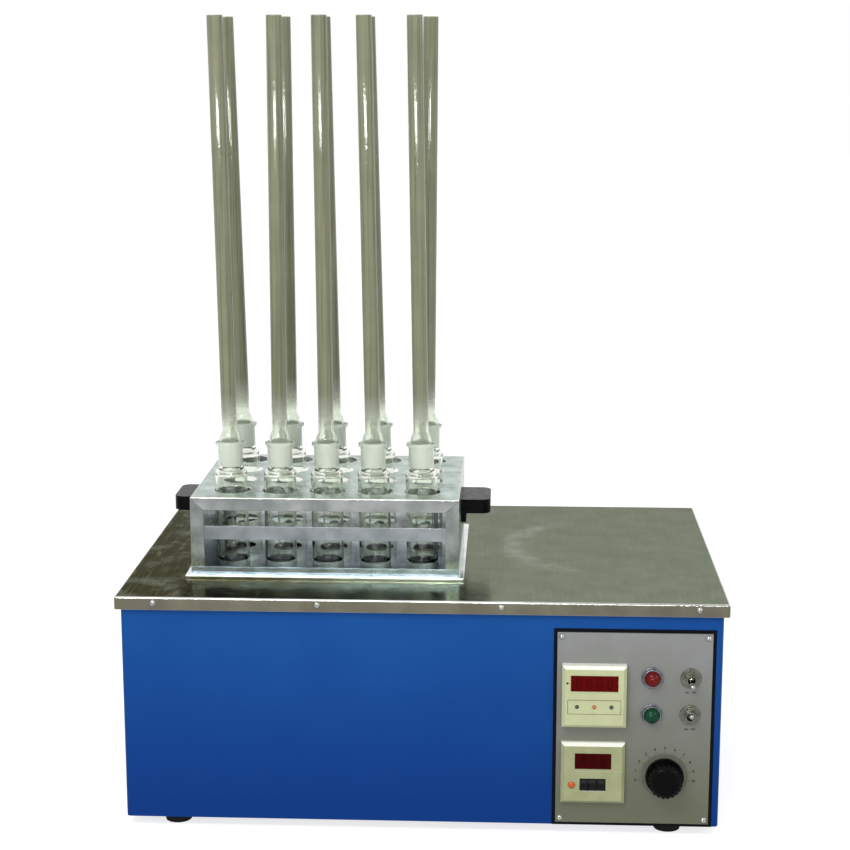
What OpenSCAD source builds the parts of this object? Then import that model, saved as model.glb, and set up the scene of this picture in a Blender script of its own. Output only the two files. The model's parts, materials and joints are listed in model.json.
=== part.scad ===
// Block digester: a heating block in a sheet-steel case, with a lift-out rack of
// glass digestion tubes, their air condensers, and a control panel at the front.

/* [Case] */
// Width of the case
case_w = 678; // [660:1:760]
// Depth of the case
case_d = 440; // [430:1:520]
// Height of the case walls
case_h = 262.5; // [258:0.5:320]
// Thickness of the case sheet
case_t = 1.5; // [1:0.1:2.5]
// Radius of the case's upright corners
case_corner_r = 5; // [3:0.5:10]
// Height of the rubber feet
foot_h = 12; // [8:1:25]
// Diameter of the rubber feet where they meet the case
foot_d = 34; // [28:1:44]
// Distance from the case's sides to the centre of a foot
foot_inset_x = 56; // [40:0.5:90]
// Distance from the case's front and back to the centre of a foot
foot_inset_y = 26; // [24:0.5:60]

/* [Cover] */
// Overhang of the cover past each side of the case
cover_overhang_x = 6; // [4:0.5:12]
// Overhang of the cover past the front and back of the case
cover_overhang_y = 5; // [4:0.5:12]
// Thickness of the cover sheet
cover_t = 1.5; // [1:0.1:2.5]
// Height of the cover's folded-down lip
lip_h = 15; // [12:0.5:20]
// Distance from the cover's left end to the first lip screw
lip_screw_left = 44; // [25:1:80]
// Distance from the cover's right end to the last lip screw
lip_screw_right = 34; // [25:1:80]
// Height of the lip screws above the lip's lower edge
lip_screw_h = 8; // [5:0.5:9]

/* [Tube places] */
// Distance between the centres of neighbouring tube places
pitch = 56; // [54:0.5:62]
// Distance from the case's left side to the middle of the rack
rack_from_left = 224; // [218:0.5:250]
// Distance from the case's front to the middle of the rack
rack_from_front = 200; // [194:1:230]

/* [Rack] */
// Height of the rack's top above the cover
rack_h = 95; // [90:0.5:110]
// Distance from the outer tube places to the rack's sides
rack_side_margin = 44; // [40:0.5:50]
// Distance from the front row of places to the rack's front
rack_front_margin = 43; // [40:0.5:52]
// Distance from the back row of places to the rack's back
rack_back_margin = 26; // [26:0.5:40]
// Thickness of the rack's sheet
rack_t = 1.5; // [1:0.1:2]
// Width of the upright flanges at the rack's corners
post_w = 15.5; // [10:0.5:18]
// Depth of the top plate's folded-down skirt
skirt_h = 14; // [10:0.5:18]
// Height of the middle shelf above the cover
shelf_h = 44.5; // [40:0.5:48]
// Height of the middle shelf's rim
shelf_rim = 16; // [10:0.5:18]
// Height of the bottom plate above the cover
tray_h = 12; // [9:0.5:20]
// Diameter of the guide holes in the top plate and the middle shelf
guide_d = 42; // [41.8:0.1:43.6]

/* [Handles] */
// Reach of a side handle
handle_out = 35; // [28:0.5:45]
// Length of a side handle along the rack
handle_len = 66; // [56:1:90]
// Thickness of a handle's grip
handle_t = 17; // [14:0.5:20]
// Height of the middle of the grip above the middle shelf's rim
handle_rise = 5; // [4.5:0.5:8]
// Thickness of a handle's foot against the rack
handle_foot_t = 6; // [4:0.5:9]
// How far the handle's foot reaches below the grip
handle_foot_drop = 11; // [6:0.5:14]
// How far the handles stand behind the middle of the rack
handle_back = 4; // [0:0.5:10]

/* [Heating block] */
// Height of the heating block
block_h = 90; // [86:1:100]
// Margin of the block past the centres of the outer wells
block_margin = 30; // [28:0.5:32]
// Diameter of the wells
well_d = 37; // [36.8:0.1:40]
// Depth of the wells
well_depth = 75; // [75:0.5:78]
// Thickness of the heater plate
heater_t = 8; // [5:0.5:12]
// Thickness of the insulation round the block
insulation_t = 25; // [15:1:30]
// Thickness of the block housing's sheet
housing_t = 1.2; // [0.8:0.1:2]
// Thickness of the bezel on the cover
bezel_t = 4; // [3:0.5:5]
// How far the bezel shows at the rack's sides
bezel_show_x = 6; // [4:0.5:10]
// How far the bezel shows at the rack's front and back
bezel_show_y = 9; // [5:0.5:12]
// How far the bezel laps over the block
bezel_lap = 5; // [3:0.5:7]
// Gap between the block and the cover's opening
block_gap = 3; // [2:0.5:5]

/* [Glass] */
// Outer diameter of a tube's body
body_d = 37.5; // [36.8:0.1:38]
// Outer diameter of a tube's lower end
tip_d = 32; // [30:0.1:32.5]
// Clearance between a tube's end and the bottom of its well
tip_gap = 3; // [2:0.5:8]
// Wall thickness of a tube
glass_t = 1.8; // [1.2:0.1:2.2]
// Height of a tube's shoulder above the rack's top
shoulder_h = 25; // [20:0.5:30]
// Height of a tube's rim above the rack's top
rim_h = 58; // [57:0.5:70]
// Outer diameter of a tube's socket
socket_d = 29.4; // [28.6:0.1:31]
// Outer diameter of a tube's rim
rim_d = 34.5; // [32:0.1:36]
// Height of a tube's rim bead
rim_t = 4; // [3:0.5:6]
// Diameter of the ground joint at the rim
joint_d = 24; // [23.5:0.1:24.5]
// Length of the ground joint
joint_len = 29; // [25:0.5:30]
// Clearance of the ground joint all round
joint_gap = 0.2; // [0.1:0.05:0.3]
// Outer diameter of a condenser
condenser_d = 18; // [16:0.1:19]
// Wall thickness of a condenser
condenser_t = 1.5; // [1:0.1:2]
// Length of a condenser above the tube's rim
condenser_len = 488; // [300:1:800]

/* [Control panel] */
// Width of the control panel
panel_w = 173; // [170:0.5:178]
// Distance from the cover's lip down to the control panel
panel_below_lip = 20; // [13:0.5:23]
// Thickness of the control panel
panel_t = 2; // [1.5:0.1:3]
// Distance from the case's right side to the panel
panel_from_right = 12; // [10:0.5:20]
// Distance from the case's underside to the panel
panel_from_floor = 4; // [4:0.5:12]
// Thickness of the dark surround behind the panel
surround_t = 1; // [0.8:0.1:2]
// How far the surround shows round the panel
surround_show = 4; // [2:0.5:4]
// Distance from the panel's edges to its corner screws
panel_screw_inset = 5; // [4.5:0.1:5.5]

/* [Meters] */
// Width and height of a meter's front
meter_size = 72; // [70:0.5:74]
// Distance from the panel's left edge to the middle of the meters
meter_u = 41.5; // [39:0.5:44]
// Parts of the panel's free height that lie above the timer
parts_above = 71; // [66:1:76]
// Parts of the panel's free height that lie between the meters
parts_between = 40; // [30:1:50]
// Parts of the panel's free height that lie below the controller
parts_below = 51; // [46:1:60]
// How far the timer stands out of the panel
timer_out = 13; // [9:0.5:16]
// How far the controller stands out of the panel
controller_out = 8; // [6:0.5:16]
// Width of the bevel round a meter's front
meter_bevel = 3.5; // [1.5:0.1:4.5]
// Depth of a meter's body behind the panel
meter_body = 80; // [50:1:100]

/* [Lamps and switches] */
// Distance from the panel's left edge to the pilot lamps
lamp_u = 106.5; // [100:0.5:109]
// Distance from the panel's left edge to the toggle switches
toggle_u = 149.5; // [144:0.5:152]
// Distance from the panel's top edge to the upper lamp and switch
upper_v = 51.5; // [40:0.5:56]
// Distance from the upper to the lower lamp and switch
lamp_step = 43; // [36:0.5:50]
// Diameter of a pilot lamp's rim
lamp_rim_d = 25; // [22:0.5:28]
// Diameter of a pilot lamp's lens
lens_d = 17.8; // [14:0.1:18.5]
// How far a pilot lamp's lens stands out of the panel
lens_out = 13; // [10:0.5:16]
// Diameter of a toggle switch's washer
washer_d = 24; // [20:0.5:26]
// How far a toggle lever reaches out of the panel
lever_out = 22; // [18:0.5:26]
// Swing of a toggle lever to each side of straight out
lever_tilt = 15; // [10:1:16]

/* [Regulator] */
// Distance from the panel's left edge to the knob's axis
knob_u = 122.5; // [119:0.5:126]
// Distance from the panel's top edge to the knob's axis
knob_v = 167.5; // [150:0.5:180]
// Diameter of the knob's skirt
knob_d = 43; // [36:0.5:50]
// How far the knob stands out of the panel
knob_out = 24; // [18:0.5:30]
// Diameter of the dial ring on the panel
dial_d = 53; // [51:0.5:58]

/* [Hidden] */
columns = 5;
rows = 4;
glass_rows = [0, 2];
// Lean of each tube in its clearance, in degrees towards the right: front row, then third row
leans = [[-0.9, 0.1, -0.4, -0.9, -0.8], [-1.3, -0.2, -1.0, -1.3, 0.4]];

smooth = 64;
fine = 40;
arc_steps = 8;
past = 1;

// Shares of the length between the end lip screws at which the screws stand
lip_screw_shares = [0, 0.303, 0.64, 1];
side_screw_shares = [0.2, 0.8];

// Running fits
hinge_fit = 0.05;
seat_gap = 0.3;
slip = 0.25;

// Heights and outlines of the case and cover
case_z = foot_h;
cover_under_z = case_z + case_h;
cover_z = cover_under_z + cover_t;
cover_w = case_w + 2 * cover_overhang_x;
cover_d = case_d + 2 * cover_overhang_y;
cover_corner_r = case_corner_r - 2;
lip_screw_z = cover_z - lip_h + lip_screw_h;
left_x = -case_w / 2;
right_x = case_w / 2;
front_y = -case_d / 2;
rear_y = case_d / 2;
foot_x = case_w / 2 - foot_inset_x;
foot_y = case_d / 2 - foot_inset_y;
foot_taper = 4;

// Rack and tube places
rack_x = left_x + rack_from_left;
rack_y = front_y + rack_from_front;
rack_w = (columns - 1) * pitch + 2 * rack_side_margin;
rack_d = (rows - 1) * pitch + rack_front_margin + rack_back_margin;
rack_base_z = cover_z + bezel_t;
rack_top_z = cover_z + rack_h;
shelf_z = cover_z + shelf_h;
seat_z = cover_z + tray_h;
seat_d = body_d - 1.2;
first_y = rack_y - rack_d / 2 + rack_front_margin;
places_y = first_y + (rows - 1) * pitch / 2;

// Handles
handle_y = rack_y + handle_back;
handle_z = cover_z + shelf_h + shelf_rim + handle_rise;
handle_corner_r = 11;
handle_screw_inset = 12;
handle_screw_step = handle_len / 2 - handle_screw_inset;
handle_screw_up = 2;
handle_screw_len = 15;

// Block and its housing
block_w = (columns - 1) * pitch + 2 * block_margin;
block_d = (rows - 1) * pitch + 2 * block_margin;
block_z = cover_z - block_h;
bar_gap = 0.4;
heater_z = block_z - heater_t;
insulation_z = heater_z - insulation_t;
insulation_w = block_w + 2 * insulation_t;
insulation_d = block_d + 2 * insulation_t;
housing_flange = 12;
housing_z = insulation_z - housing_t;
bezel_w = rack_w + 2 * bezel_show_x;
bezel_d = rack_d + 2 * bezel_show_y;
probe_d = 5;
probe_in = 26;
probe_out = 40;
probe_y = first_y + pitch;
probe_z = block_z + (block_h - well_depth) / 2;
probe_head_d = 9;

// Glass, measured from the middle of a tube's seat
rack_top_s = rack_top_z - seat_z;
tip_s = tip_gap - well_depth - tray_h;
seat_play = 0.5;
cone_low_s = -(seat_d - tip_d) / 2 + seat_play;
cone_high_s = cone_low_s + (body_d - tip_d) / 2;
shoulder_s = rack_top_s + shoulder_h;
rim_s = rack_top_s + rim_h;
joint_taper = 0.1;
joint_low_d = joint_d - joint_taper * joint_len;
neck_r = joint_low_d / 2 + joint_gap;
condenser_top_s = rim_s + condenser_len;
cone_show = 4;
cone_blend = 10;

// Control panel, between the case's foot and the cover's lip, and the meters in its free height
panel_x = right_x - panel_from_right - panel_w;
panel_top = cover_z - lip_h - panel_below_lip;
panel_h = panel_top - case_z - panel_from_floor;
panel_part = (panel_h - 2 * meter_size) / (parts_above + parts_between + parts_below);
timer_v = meter_size / 2 + parts_above * panel_part;
meter_step = meter_size + parts_between * panel_part;
panel_back_y = front_y - surround_t;
panel_y = panel_back_y - panel_t;
cutout_edge = 8.5;
rear_edge = 60;
rear_h = 190;
rear_rise = 40;
rear_lap = 12;
rear_t = 1.5;

// Screws
screw_head_d = 7.4;
screw_head_h = 2.2;
screw_d = 3.6;
screw_len = 11;
screw_slot = 0.9;

// Meters and what they hold
meter_flat = 0.9;
body_inset = 2;
pocket_deep = 1.6;
window_proud = 0.5;
timer_window = [53, 18.3];
timer_window_up = 16.3;
timer_strip = [59.5, 16.6];
timer_strip_up = -11.2;
timer_lamp_step = 19.2;
side_lamp_left = 30.2;
controller_window = [41, 18.3];
controller_window_up = 15;
controller_lamp_left = 23.8;
controller_lamp_up = -13.7;
lamp_dot_d = 4.4;
side_lamp_d = 2.6;
controller_lamp_d = 8.5;
strip_deep = 0.6;
groove_w = 0.8;
flap_up = 4.5;
thumb_up = -13.3;
thumb_h = 15.1;
wheel_count = 3;
wheel_step = 9.8;
wheel_w = 9;
wheel_d = 22;
wheel_proud = 0.8;
wheel_pin_d = 2.4;
timer_y = panel_y - timer_out;
controller_y = panel_y - controller_out;
wheel_y = controller_y - wheel_proud + wheel_d / 2;
wheel_z = panel_top - timer_v - meter_step + thumb_up;

// Lamps, switches and regulator
lamp_body_d = 16;
lamp_body_len = 34;
lamp_rim_t = 2;
lens_seat = 1;
lamp_collar_d = lens_d + 2.8;
lamp_collar_h = 5;
bush_d = 12;
bush_out = 9;
nut_d = 17;
nut_t = 3;
washer_t = 1.2;
switch_w = 14;
switch_h = 28;
switch_deep = 24;
bush_bore_d = 8.6;
ball_d = bush_bore_d - 2 * seat_gap;
lever_pivot_out = 3;
lever_root_d = 3;
lever_tip_d = 5.6;
regulator_size = 42;
regulator_deep = 38;
shaft_d = 6;
shaft_bush_d = 10;
shaft_bush_out = 2.4;
shaft_in_knob = 16;
dial_t = 0.8;
knob_lift = dial_t + 0.7;
knob_skirt_h = 4;
knob_grip_d = knob_d - 6;
flute_count = 20;
flute_d = 3.2;
flute_out = 0.6;
knob_cap_d = knob_grip_d - flute_d;
knob_cap_h = 1.5;
pointer_angle = 55;
pointer_from = 5;
pointer_w = 1.4;
pointer_deep = 0.6;

// Inlets in the rear panel
gland_from_right = 120;
gland_up = 30;
inlet_step = 50;
gland_x = right_x - gland_from_right;
gland_z = case_z + rear_rise + gland_up;
gland_out = 24;
gland_d = 22;
gland_stem = 10;
gland_stem_d = 15.6;
gland_nut_h = 3.5;
gland_collar_h = 6;
gland_cap_d = 18.6;
gland_end_d = 13;
cord_bore_d = 8.4;
fuse_x = gland_x - inlet_step;
fuse_d = 15;
fuse_out = 12;
fuse_flange = 3;
fuse_body = 24;
fuse_body_d = 12;
fuse_slot = 1.6;
vent_w = 56;
vent_h = 5;
vent_step = 12;
vent_count = 7;
vent_columns = 4;

// The model stands with its outline centred front to back
front_reach = surround_t + panel_t + knob_out;
rear_reach = rear_t + gland_out;
frame_y = (front_reach - rear_reach) / 2;

function place_x(c) = rack_x + (c - (columns - 1) / 2) * pitch;
function place_y(r) = first_y + r * pitch;
function arc(x, z, r, from, to) =
    [for (i = [0 : arc_steps]) let (a = from + (to - from) * i / arc_steps)
        [x + r * cos(a), z + r * sin(a)]];
function two(n) = n < 10 ? str("0", n) : str(n);
function glass_name(kind, g, c) = str(kind, "_", two(g * columns + c + 1));

TUBES = [for (g = [0 : len(glass_rows) - 1], c = [0 : columns - 1])
    glass_name("digestion_tube", g, c)];
CONDENSERS = [for (g = [0 : len(glass_rows) - 1], c = [0 : columns - 1])
    glass_name("air_condenser", g, c)];
WHEELS = [for (i = [1 : wheel_count]) str("thumbwheel_", i)];

// ---- helpers ----

// Everything is drawn with the case centred, then moved so that the outline is centred
module placed() {
    translate([0, frame_y, 0]) children();
}

// Rectangle with round corners, centred
module rounded_outline(w, d, r) {
    square([w - 2 * r, d], center = true);
    square([w, d - 2 * r], center = true);
    for (x = [-1, 1], y = [-1, 1]) {
        translate([x * (w / 2 - r), y * (d / 2 - r)]) circle(r = r, $fn = fine);
    }
}

// Upright block with round corners, from z0 up by h
module rounded_block(w, d, r, z0, h) {
    translate([0, 0, z0]) linear_extrude(h) rounded_outline(w, d, r);
}

// Block centred in x and y that stands on z0
module slab(w, d, z0, h) {
    translate([-w / 2, -d / 2, z0]) cube([w, d, h]);
}

// Children at a point of the control panel, u from its left and v down from its top
module on_panel(u, v, y = panel_y) {
    translate([panel_x + u, y, panel_top - v]) children();
}

// Round bar that leaves the panel towards the viewer, from depth a behind to depth b before it
module rod_out(d1, d2, behind, before, sides = smooth) {
    translate([0, behind, 0]) rotate([90, 0, 0])
        cylinder(d1 = d1, d2 = d2, h = behind + before, $fn = sides);
}

// Block on the panel centred at its point, from depth behind to depth before it
module box_out(w, h, behind, before) {
    translate([-w / 2, -before, -h / 2]) cube([w, behind + before, h]);
}

// Dome-headed screw along +Z: the head stands on z = 0, the shank hangs below
module dome_screw(head_d = screw_head_d, head_h = screw_head_h, d = screw_d, len = screw_len) {
    ball_r = (head_d * head_d / 4 + head_h * head_h) / (2 * head_h);
    difference() {
        intersection() {
            translate([0, 0, head_h - ball_r]) sphere(r = ball_r, $fn = fine);
            cylinder(d = head_d, h = head_h, $fn = fine);
        }
        for (turn = [0, 90]) {
            rotate(turn) slab(head_d * 0.55, screw_slot, head_h * 0.45, head_h);
        }
    }
    translate([0, 0, -len]) cylinder(d = d, h = len + screw_slot * 0.5, $fn = fine);
}

// Holes or pieces at each of the 4 corners of a rectangle
module at_corners(x, y) {
    for (sx = [-1, 1], sy = [-1, 1]) translate([sx * x, sy * y, 0]) children();
}

// Children at each tube place
module at_places() {
    for (c = [0 : columns - 1], r = [0 : rows - 1]) translate([place_x(c), place_y(r), 0]) children();
}

// ---- case, cover and rear ----

// Places of the lip screws: each child points out of the lip
module at_lip_screws() {
    span = cover_w - lip_screw_left - lip_screw_right;
    for (s = lip_screw_shares, side = [-1, 1]) {
        x = -cover_w / 2 + lip_screw_left + s * span;
        translate([x, side * cover_d / 2, lip_screw_z]) rotate([-side * 90, 0, 0]) children();
    }
    for (s = side_screw_shares, side = [-1, 1]) {
        translate([side * cover_w / 2, (s - 0.5) * cover_d, lip_screw_z]) rotate([0, side * 90, 0]) children();
    }
}

// Places of the rear panel's screws: each child points backwards
module at_rear_screws() {
    for (x = [-1, 0, 1], z = [0, 1]) {
        translate([
            x * (case_w / 2 - rear_edge - rear_lap / 2),
            rear_y + rear_t,
            case_z + rear_rise + rear_lap / 2 + z * (rear_h - rear_lap)
        ]) rotate([-90, 0, 0]) children();
    }
}

// Places of the foot screws: each child points down
module at_foot_screws() {
    at_corners(foot_x, foot_y) translate([0, 0, foot_h * 0.45]) rotate([180, 0, 0]) children();
}

module screw_way(len = screw_len + case_t) {
    translate([0, 0, -len]) cylinder(d = screw_d + slip, h = len + past, $fn = fine);
}

module case_body() {
    inner_w = case_w - 2 * case_t;
    inner_d = case_d - 2 * case_t;
    color([0.11, 0.29, 0.56]) difference() {
        rounded_block(case_w, case_d, case_corner_r, case_z, case_h);
        rounded_block(inner_w, inner_d, case_corner_r - case_t, case_z + case_t, case_h);
        on_panel(panel_w / 2, panel_h / 2, front_y)
            box_out(panel_w - 2 * cutout_edge, panel_h - 2 * cutout_edge, 2 * case_t, past);
        meter_openings();
        at_panel_screws() screw_way();
        translate([0, rear_y - case_t / 2, case_z + rear_rise + rear_h / 2])
            cube([case_w - 2 * rear_edge - 2 * rear_lap, 2 * case_t, rear_h - 2 * rear_lap], center = true);
        at_lip_screws() screw_way();
        at_rear_screws() screw_way();
        at_foot_screws() screw_way(screw_len + past);
    }
}

// Rear panel with its vent slots, the gland's hole and the fuse holder's
module rear_panel() {
    color([0.11, 0.29, 0.56]) difference() {
        translate([-case_w / 2 + rear_edge, rear_y, case_z + rear_rise])
            cube([case_w - 2 * rear_edge, rear_t, rear_h]);
        at_rear_screws() screw_way();
        for (i = [0 : vent_columns - 1], j = [0 : vent_count - 1]) {
            translate([
                left_x + rear_edge + 2 * rear_lap + i * (vent_w + vent_step),
                rear_y - past,
                case_z + rear_rise + 3 * rear_lap + j * vent_step
            ]) cube([vent_w, rear_t + 2 * past, vent_h]);
        }
        at_inlet(gland_x) translate([0, 0, -past]) cylinder(d = gland_stem_d + slip, h = rear_t + 2 * past, $fn = fine);
        at_inlet(fuse_x) translate([0, 0, -past]) cylinder(d = fuse_body_d + slip, h = rear_t + 2 * past, $fn = fine);
    }
}

module top_cover() {
    color([0.48, 0.49, 0.43]) difference() {
        rounded_block(cover_w, cover_d, cover_corner_r, cover_z - lip_h, lip_h);
        rounded_block(
            cover_w - 2 * cover_t, cover_d - 2 * cover_t, cover_corner_r - cover_t,
            cover_z - lip_h - past, lip_h - cover_t + past);
        translate([rack_x, places_y, 0])
            slab(block_w + 2 * block_gap, block_d + 2 * block_gap, cover_z - lip_h, lip_h + past);
        at_lip_screws() screw_way();
    }
}

// Screws of the lip, the rear panel and the feet, all alike
module case_screws() {
    color([0.75, 0.75, 0.74]) {
        at_lip_screws() dome_screw();
        at_rear_screws() dome_screw();
        at_foot_screws() dome_screw();
    }
}

module rubber_feet() {
    color([0.06, 0.06, 0.06]) at_corners(foot_x, foot_y) difference() {
        cylinder(d1 = foot_d - foot_taper, d2 = foot_d, h = foot_h, $fn = smooth);
        translate([0, 0, -past]) cylinder(d = screw_head_d + 2, h = foot_h * 0.45 + past, $fn = fine);
        cylinder(d = screw_d + slip, h = foot_h + past, $fn = fine);
    }
}

// Children at an inlet in the rear panel, pointing backwards from the case's rear
module at_inlet(x) {
    translate([x, rear_y, gland_z]) rotate([-90, 0, 0]) children();
}

// Cord gland: a threaded stem with a nut inside, and a hexagonal collar with a tapered cap outside
module cable_gland() {
    color([0.08, 0.08, 0.08]) at_inlet(gland_x) difference() {
        union() {
            translate([0, 0, -gland_stem]) cylinder(d = gland_stem_d, h = gland_stem + rear_t, $fn = smooth);
            translate([0, 0, -gland_nut_h]) cylinder(d = gland_d, h = gland_nut_h, $fn = 6);
            translate([0, 0, rear_t]) cylinder(d = gland_d, h = gland_collar_h, $fn = 6);
            translate([0, 0, rear_t + gland_collar_h])
                cylinder(d1 = gland_cap_d, d2 = gland_end_d, h = gland_out - gland_collar_h, $fn = smooth);
        }
        translate([0, 0, -gland_stem - past])
            cylinder(d = cord_bore_d, h = gland_stem + rear_t + gland_out + 2 * past, $fn = smooth);
    }
}

// Fuse holder: a body behind the panel, a flange, and a slotted cap
module fuse_holder() {
    color([0.08, 0.08, 0.08]) at_inlet(fuse_x) {
        translate([0, 0, -fuse_body]) cylinder(d = fuse_body_d, h = fuse_body + rear_t, $fn = smooth);
        translate([0, 0, rear_t]) cylinder(d = fuse_d + fuse_flange, h = fuse_flange / 2, $fn = smooth);
        translate([0, 0, rear_t + fuse_flange / 2]) difference() {
            cylinder(d1 = fuse_d, d2 = fuse_d - 2, h = fuse_out, $fn = smooth);
            slab(fuse_d, fuse_slot, fuse_out - fuse_slot, fuse_slot + past);
        }
    }
}

// ---- heating block and what surrounds it ----

module probe_way(d) {
    translate([rack_x + block_w / 2 - probe_in, probe_y, probe_z]) rotate([0, 90, 0])
        cylinder(d = d, h = probe_in + probe_out, $fn = fine);
}

// Bored bars side by side, one for each row of wells
module heating_block() {
    color([0.62, 0.62, 0.6]) difference() {
        for (r = [0 : rows - 1]) {
            before = r == 0 ? block_margin : (pitch - bar_gap) / 2;
            behind = r == rows - 1 ? block_margin : (pitch - bar_gap) / 2;
            translate([rack_x - block_w / 2, place_y(r) - before, block_z]) cube([block_w, before + behind, block_h]);
        }
        at_places() translate([0, 0, cover_z - well_depth]) cylinder(d = well_d, h = well_depth + past, $fn = smooth);
        probe_way(probe_d + slip);
    }
}

module heater_plate() {
    color([0.4, 0.4, 0.4]) translate([rack_x, places_y, 0]) slab(block_w, block_d, heater_z, heater_t);
}

// Insulating box: a floor under the heater plate and walls round the block
module block_insulation() {
    color([0.85, 0.83, 0.75]) difference() {
        translate([rack_x, places_y, 0])
            slab(insulation_w, insulation_d, insulation_z, cover_under_z - insulation_z);
        translate([rack_x, places_y, 0]) slab(block_w, block_d, heater_z, block_h + heater_t + past);
        probe_way(probe_d + slip);
    }
}

// Sheet housing that hangs under the cover by its flange and carries the insulation
module block_housing() {
    outer_w = insulation_w + 2 * housing_t;
    outer_d = insulation_d + 2 * housing_t;
    color([0.66, 0.66, 0.64]) difference() {
        translate([rack_x, places_y, 0]) union() {
            slab(outer_w, outer_d, housing_z, cover_under_z - housing_z);
            slab(outer_w + 2 * housing_flange, outer_d + 2 * housing_flange, cover_under_z - housing_t, housing_t);
        }
        translate([rack_x, places_y, 0])
            slab(insulation_w, insulation_d, insulation_z, cover_under_z - insulation_z + past);
        probe_way(probe_d + slip);
    }
}

// Bright frame on the cover round the block: the rack stands on it
module block_bezel() {
    color([0.78, 0.79, 0.78]) difference() {
        translate([rack_x, rack_y, 0]) slab(bezel_w, bezel_d, cover_z, bezel_t);
        translate([rack_x, places_y, 0])
            slab(block_w - 2 * bezel_lap, block_d - 2 * bezel_lap, cover_z - past, bezel_t + 2 * past);
    }
}

module temperature_probe() {
    color([0.75, 0.75, 0.74]) {
        probe_way(probe_d);
        translate([rack_x + insulation_w / 2 + housing_t, probe_y, probe_z]) rotate([0, 90, 0])
            cylinder(d = probe_head_d, h = probe_out - insulation_t, $fn = fine);
    }
}

// ---- rack ----

// Trapezium skirt of the top plate, at the front (side -1) or the back (side 1)
module top_skirt(side) {
    top_z = rack_top_z - rack_t;
    y = side < 0 ? -rack_d / 2 : rack_d / 2 - rack_t;
    translate([rack_x, rack_y + y + rack_t, 0]) rotate([90, 0, 0]) linear_extrude(rack_t) polygon([
        [-rack_w / 2, top_z],
        [rack_w / 2, top_z],
        [rack_w / 2 - post_w, top_z - skirt_h],
        [post_w - rack_w / 2, top_z - skirt_h]
    ]);
}

module rack_top_plate() {
    color([0.6, 0.64, 0.63]) difference() {
        union() {
            translate([rack_x, rack_y, 0]) slab(rack_w, rack_d, rack_top_z - rack_t, rack_t);
            top_skirt(-1);
            top_skirt(1);
        }
        at_places() translate([0, 0, rack_top_z - 2 * rack_t]) cylinder(d = guide_d, h = 3 * rack_t, $fn = smooth);
    }
}

// Shelf with an upturned rim, between the rack's sides
module rack_middle_shelf() {
    w = rack_w - 2 * rack_t;
    d = rack_d - 2 * rack_t;
    color([0.52, 0.54, 0.52]) difference() {
        translate([rack_x, rack_y, 0]) slab(w, d, shelf_z, shelf_rim);
        translate([rack_x, rack_y, 0]) slab(w - 2 * rack_t, d - 2 * rack_t, shelf_z + rack_t, shelf_rim);
        at_places() translate([0, 0, shelf_z - past]) cylinder(d = guide_d, h = rack_t + 2 * past, $fn = smooth);
    }
}

// Bottom plate with its edges folded down to the bezel: the tubes' shoulders sit in its holes
module rack_bottom_plate() {
    color([0.45, 0.5, 0.52]) difference() {
        translate([rack_x, rack_y, 0]) slab(rack_w, rack_d, rack_base_z, seat_z - rack_base_z);
        translate([rack_x, rack_y, 0])
            slab(rack_w - 2 * rack_t, rack_d - 2 * rack_t, rack_base_z - past, seat_z - rack_t - rack_base_z + past);
        at_places() translate([0, 0, seat_z - rack_t - past])
            cylinder(d = seat_d, h = rack_t + 2 * past, $fn = smooth);
    }
}

// One side of the rack: a sheet with an upright flange at its front and back, on the bottom plate
module rack_side(side) {
    top_z = rack_top_z - rack_t;
    sheet_x = rack_x + side * (rack_w - rack_t) / 2;
    color([0.53, 0.53, 0.48]) difference() {
        union() {
            translate([sheet_x, rack_y, 0]) slab(rack_t, rack_d, seat_z, top_z - skirt_h - seat_z);
            translate([sheet_x, rack_y, 0]) slab(rack_t, rack_d - 2 * rack_t, seat_z, top_z - seat_z);
            for (y = [-rack_d / 2, rack_d / 2 - rack_t]) {
                translate([rack_x, rack_y + y + rack_t, 0]) rotate([90, 0, 0]) linear_extrude(rack_t) polygon([
                    [side * rack_w / 2, seat_z],
                    [side * rack_w / 2, top_z],
                    [side * (rack_w / 2 - post_w), top_z - skirt_h],
                    [side * (rack_w / 2 - post_w), seat_z]
                ]);
            }
        }
        at_handle_screws(side) screw_way();
    }
}

// Places of a handle's screws, inside the rack: each child points into the rack
module at_handle_screws(side) {
    for (s = [-1, 1]) {
        translate([rack_x + side * (rack_w / 2 - rack_t), handle_y + s * handle_screw_step, handle_z + handle_screw_up])
            rotate([0, -side * 90, 0]) children();
    }
}

// Moulded side handle: a rounded grip on a flat foot
module side_handle(side) {
    face_x = rack_x + side * rack_w / 2;
    grip_end = handle_out - handle_corner_r;
    color([0.05, 0.05, 0.05]) difference() {
        union() {
            translate([face_x, handle_y, handle_z - handle_t / 2]) linear_extrude(handle_t) {
                translate([side * grip_end / 2, 0]) square([grip_end, handle_len], center = true);
                translate([side * handle_out / 2, 0])
                    square([handle_out, handle_len - 2 * handle_corner_r], center = true);
                for (s = [-1, 1]) {
                    translate([side * grip_end, s * (handle_len / 2 - handle_corner_r)])
                        circle(r = handle_corner_r, $fn = smooth);
                }
            }
            translate([face_x + side * handle_foot_t / 2, handle_y, handle_z - handle_t / 2 - handle_foot_drop])
                slab(handle_foot_t, handle_len, 0, handle_t + handle_foot_drop);
        }
        at_handle_screws(side) translate([0, 0, -handle_screw_len - past])
            cylinder(d = screw_d + slip, h = handle_screw_len + 2 * past, $fn = fine);
    }
}

module handle_left() {
    side_handle(-1);
}

module handle_right() {
    side_handle(1);
}

module handle_screws() {
    color([0.75, 0.75, 0.74]) for (side = [-1, 1]) {
        at_handle_screws(side) dome_screw(len = handle_screw_len);
    }
}

// ---- glass ----

// Children in a tube's own frame: the middle of its seat, leaning as the tube does
module at_seat(g, c) {
    translate([place_x(c), place_y(glass_rows[g]), seat_z]) rotate([0, leans[g][c], 0]) children();
}

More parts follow.
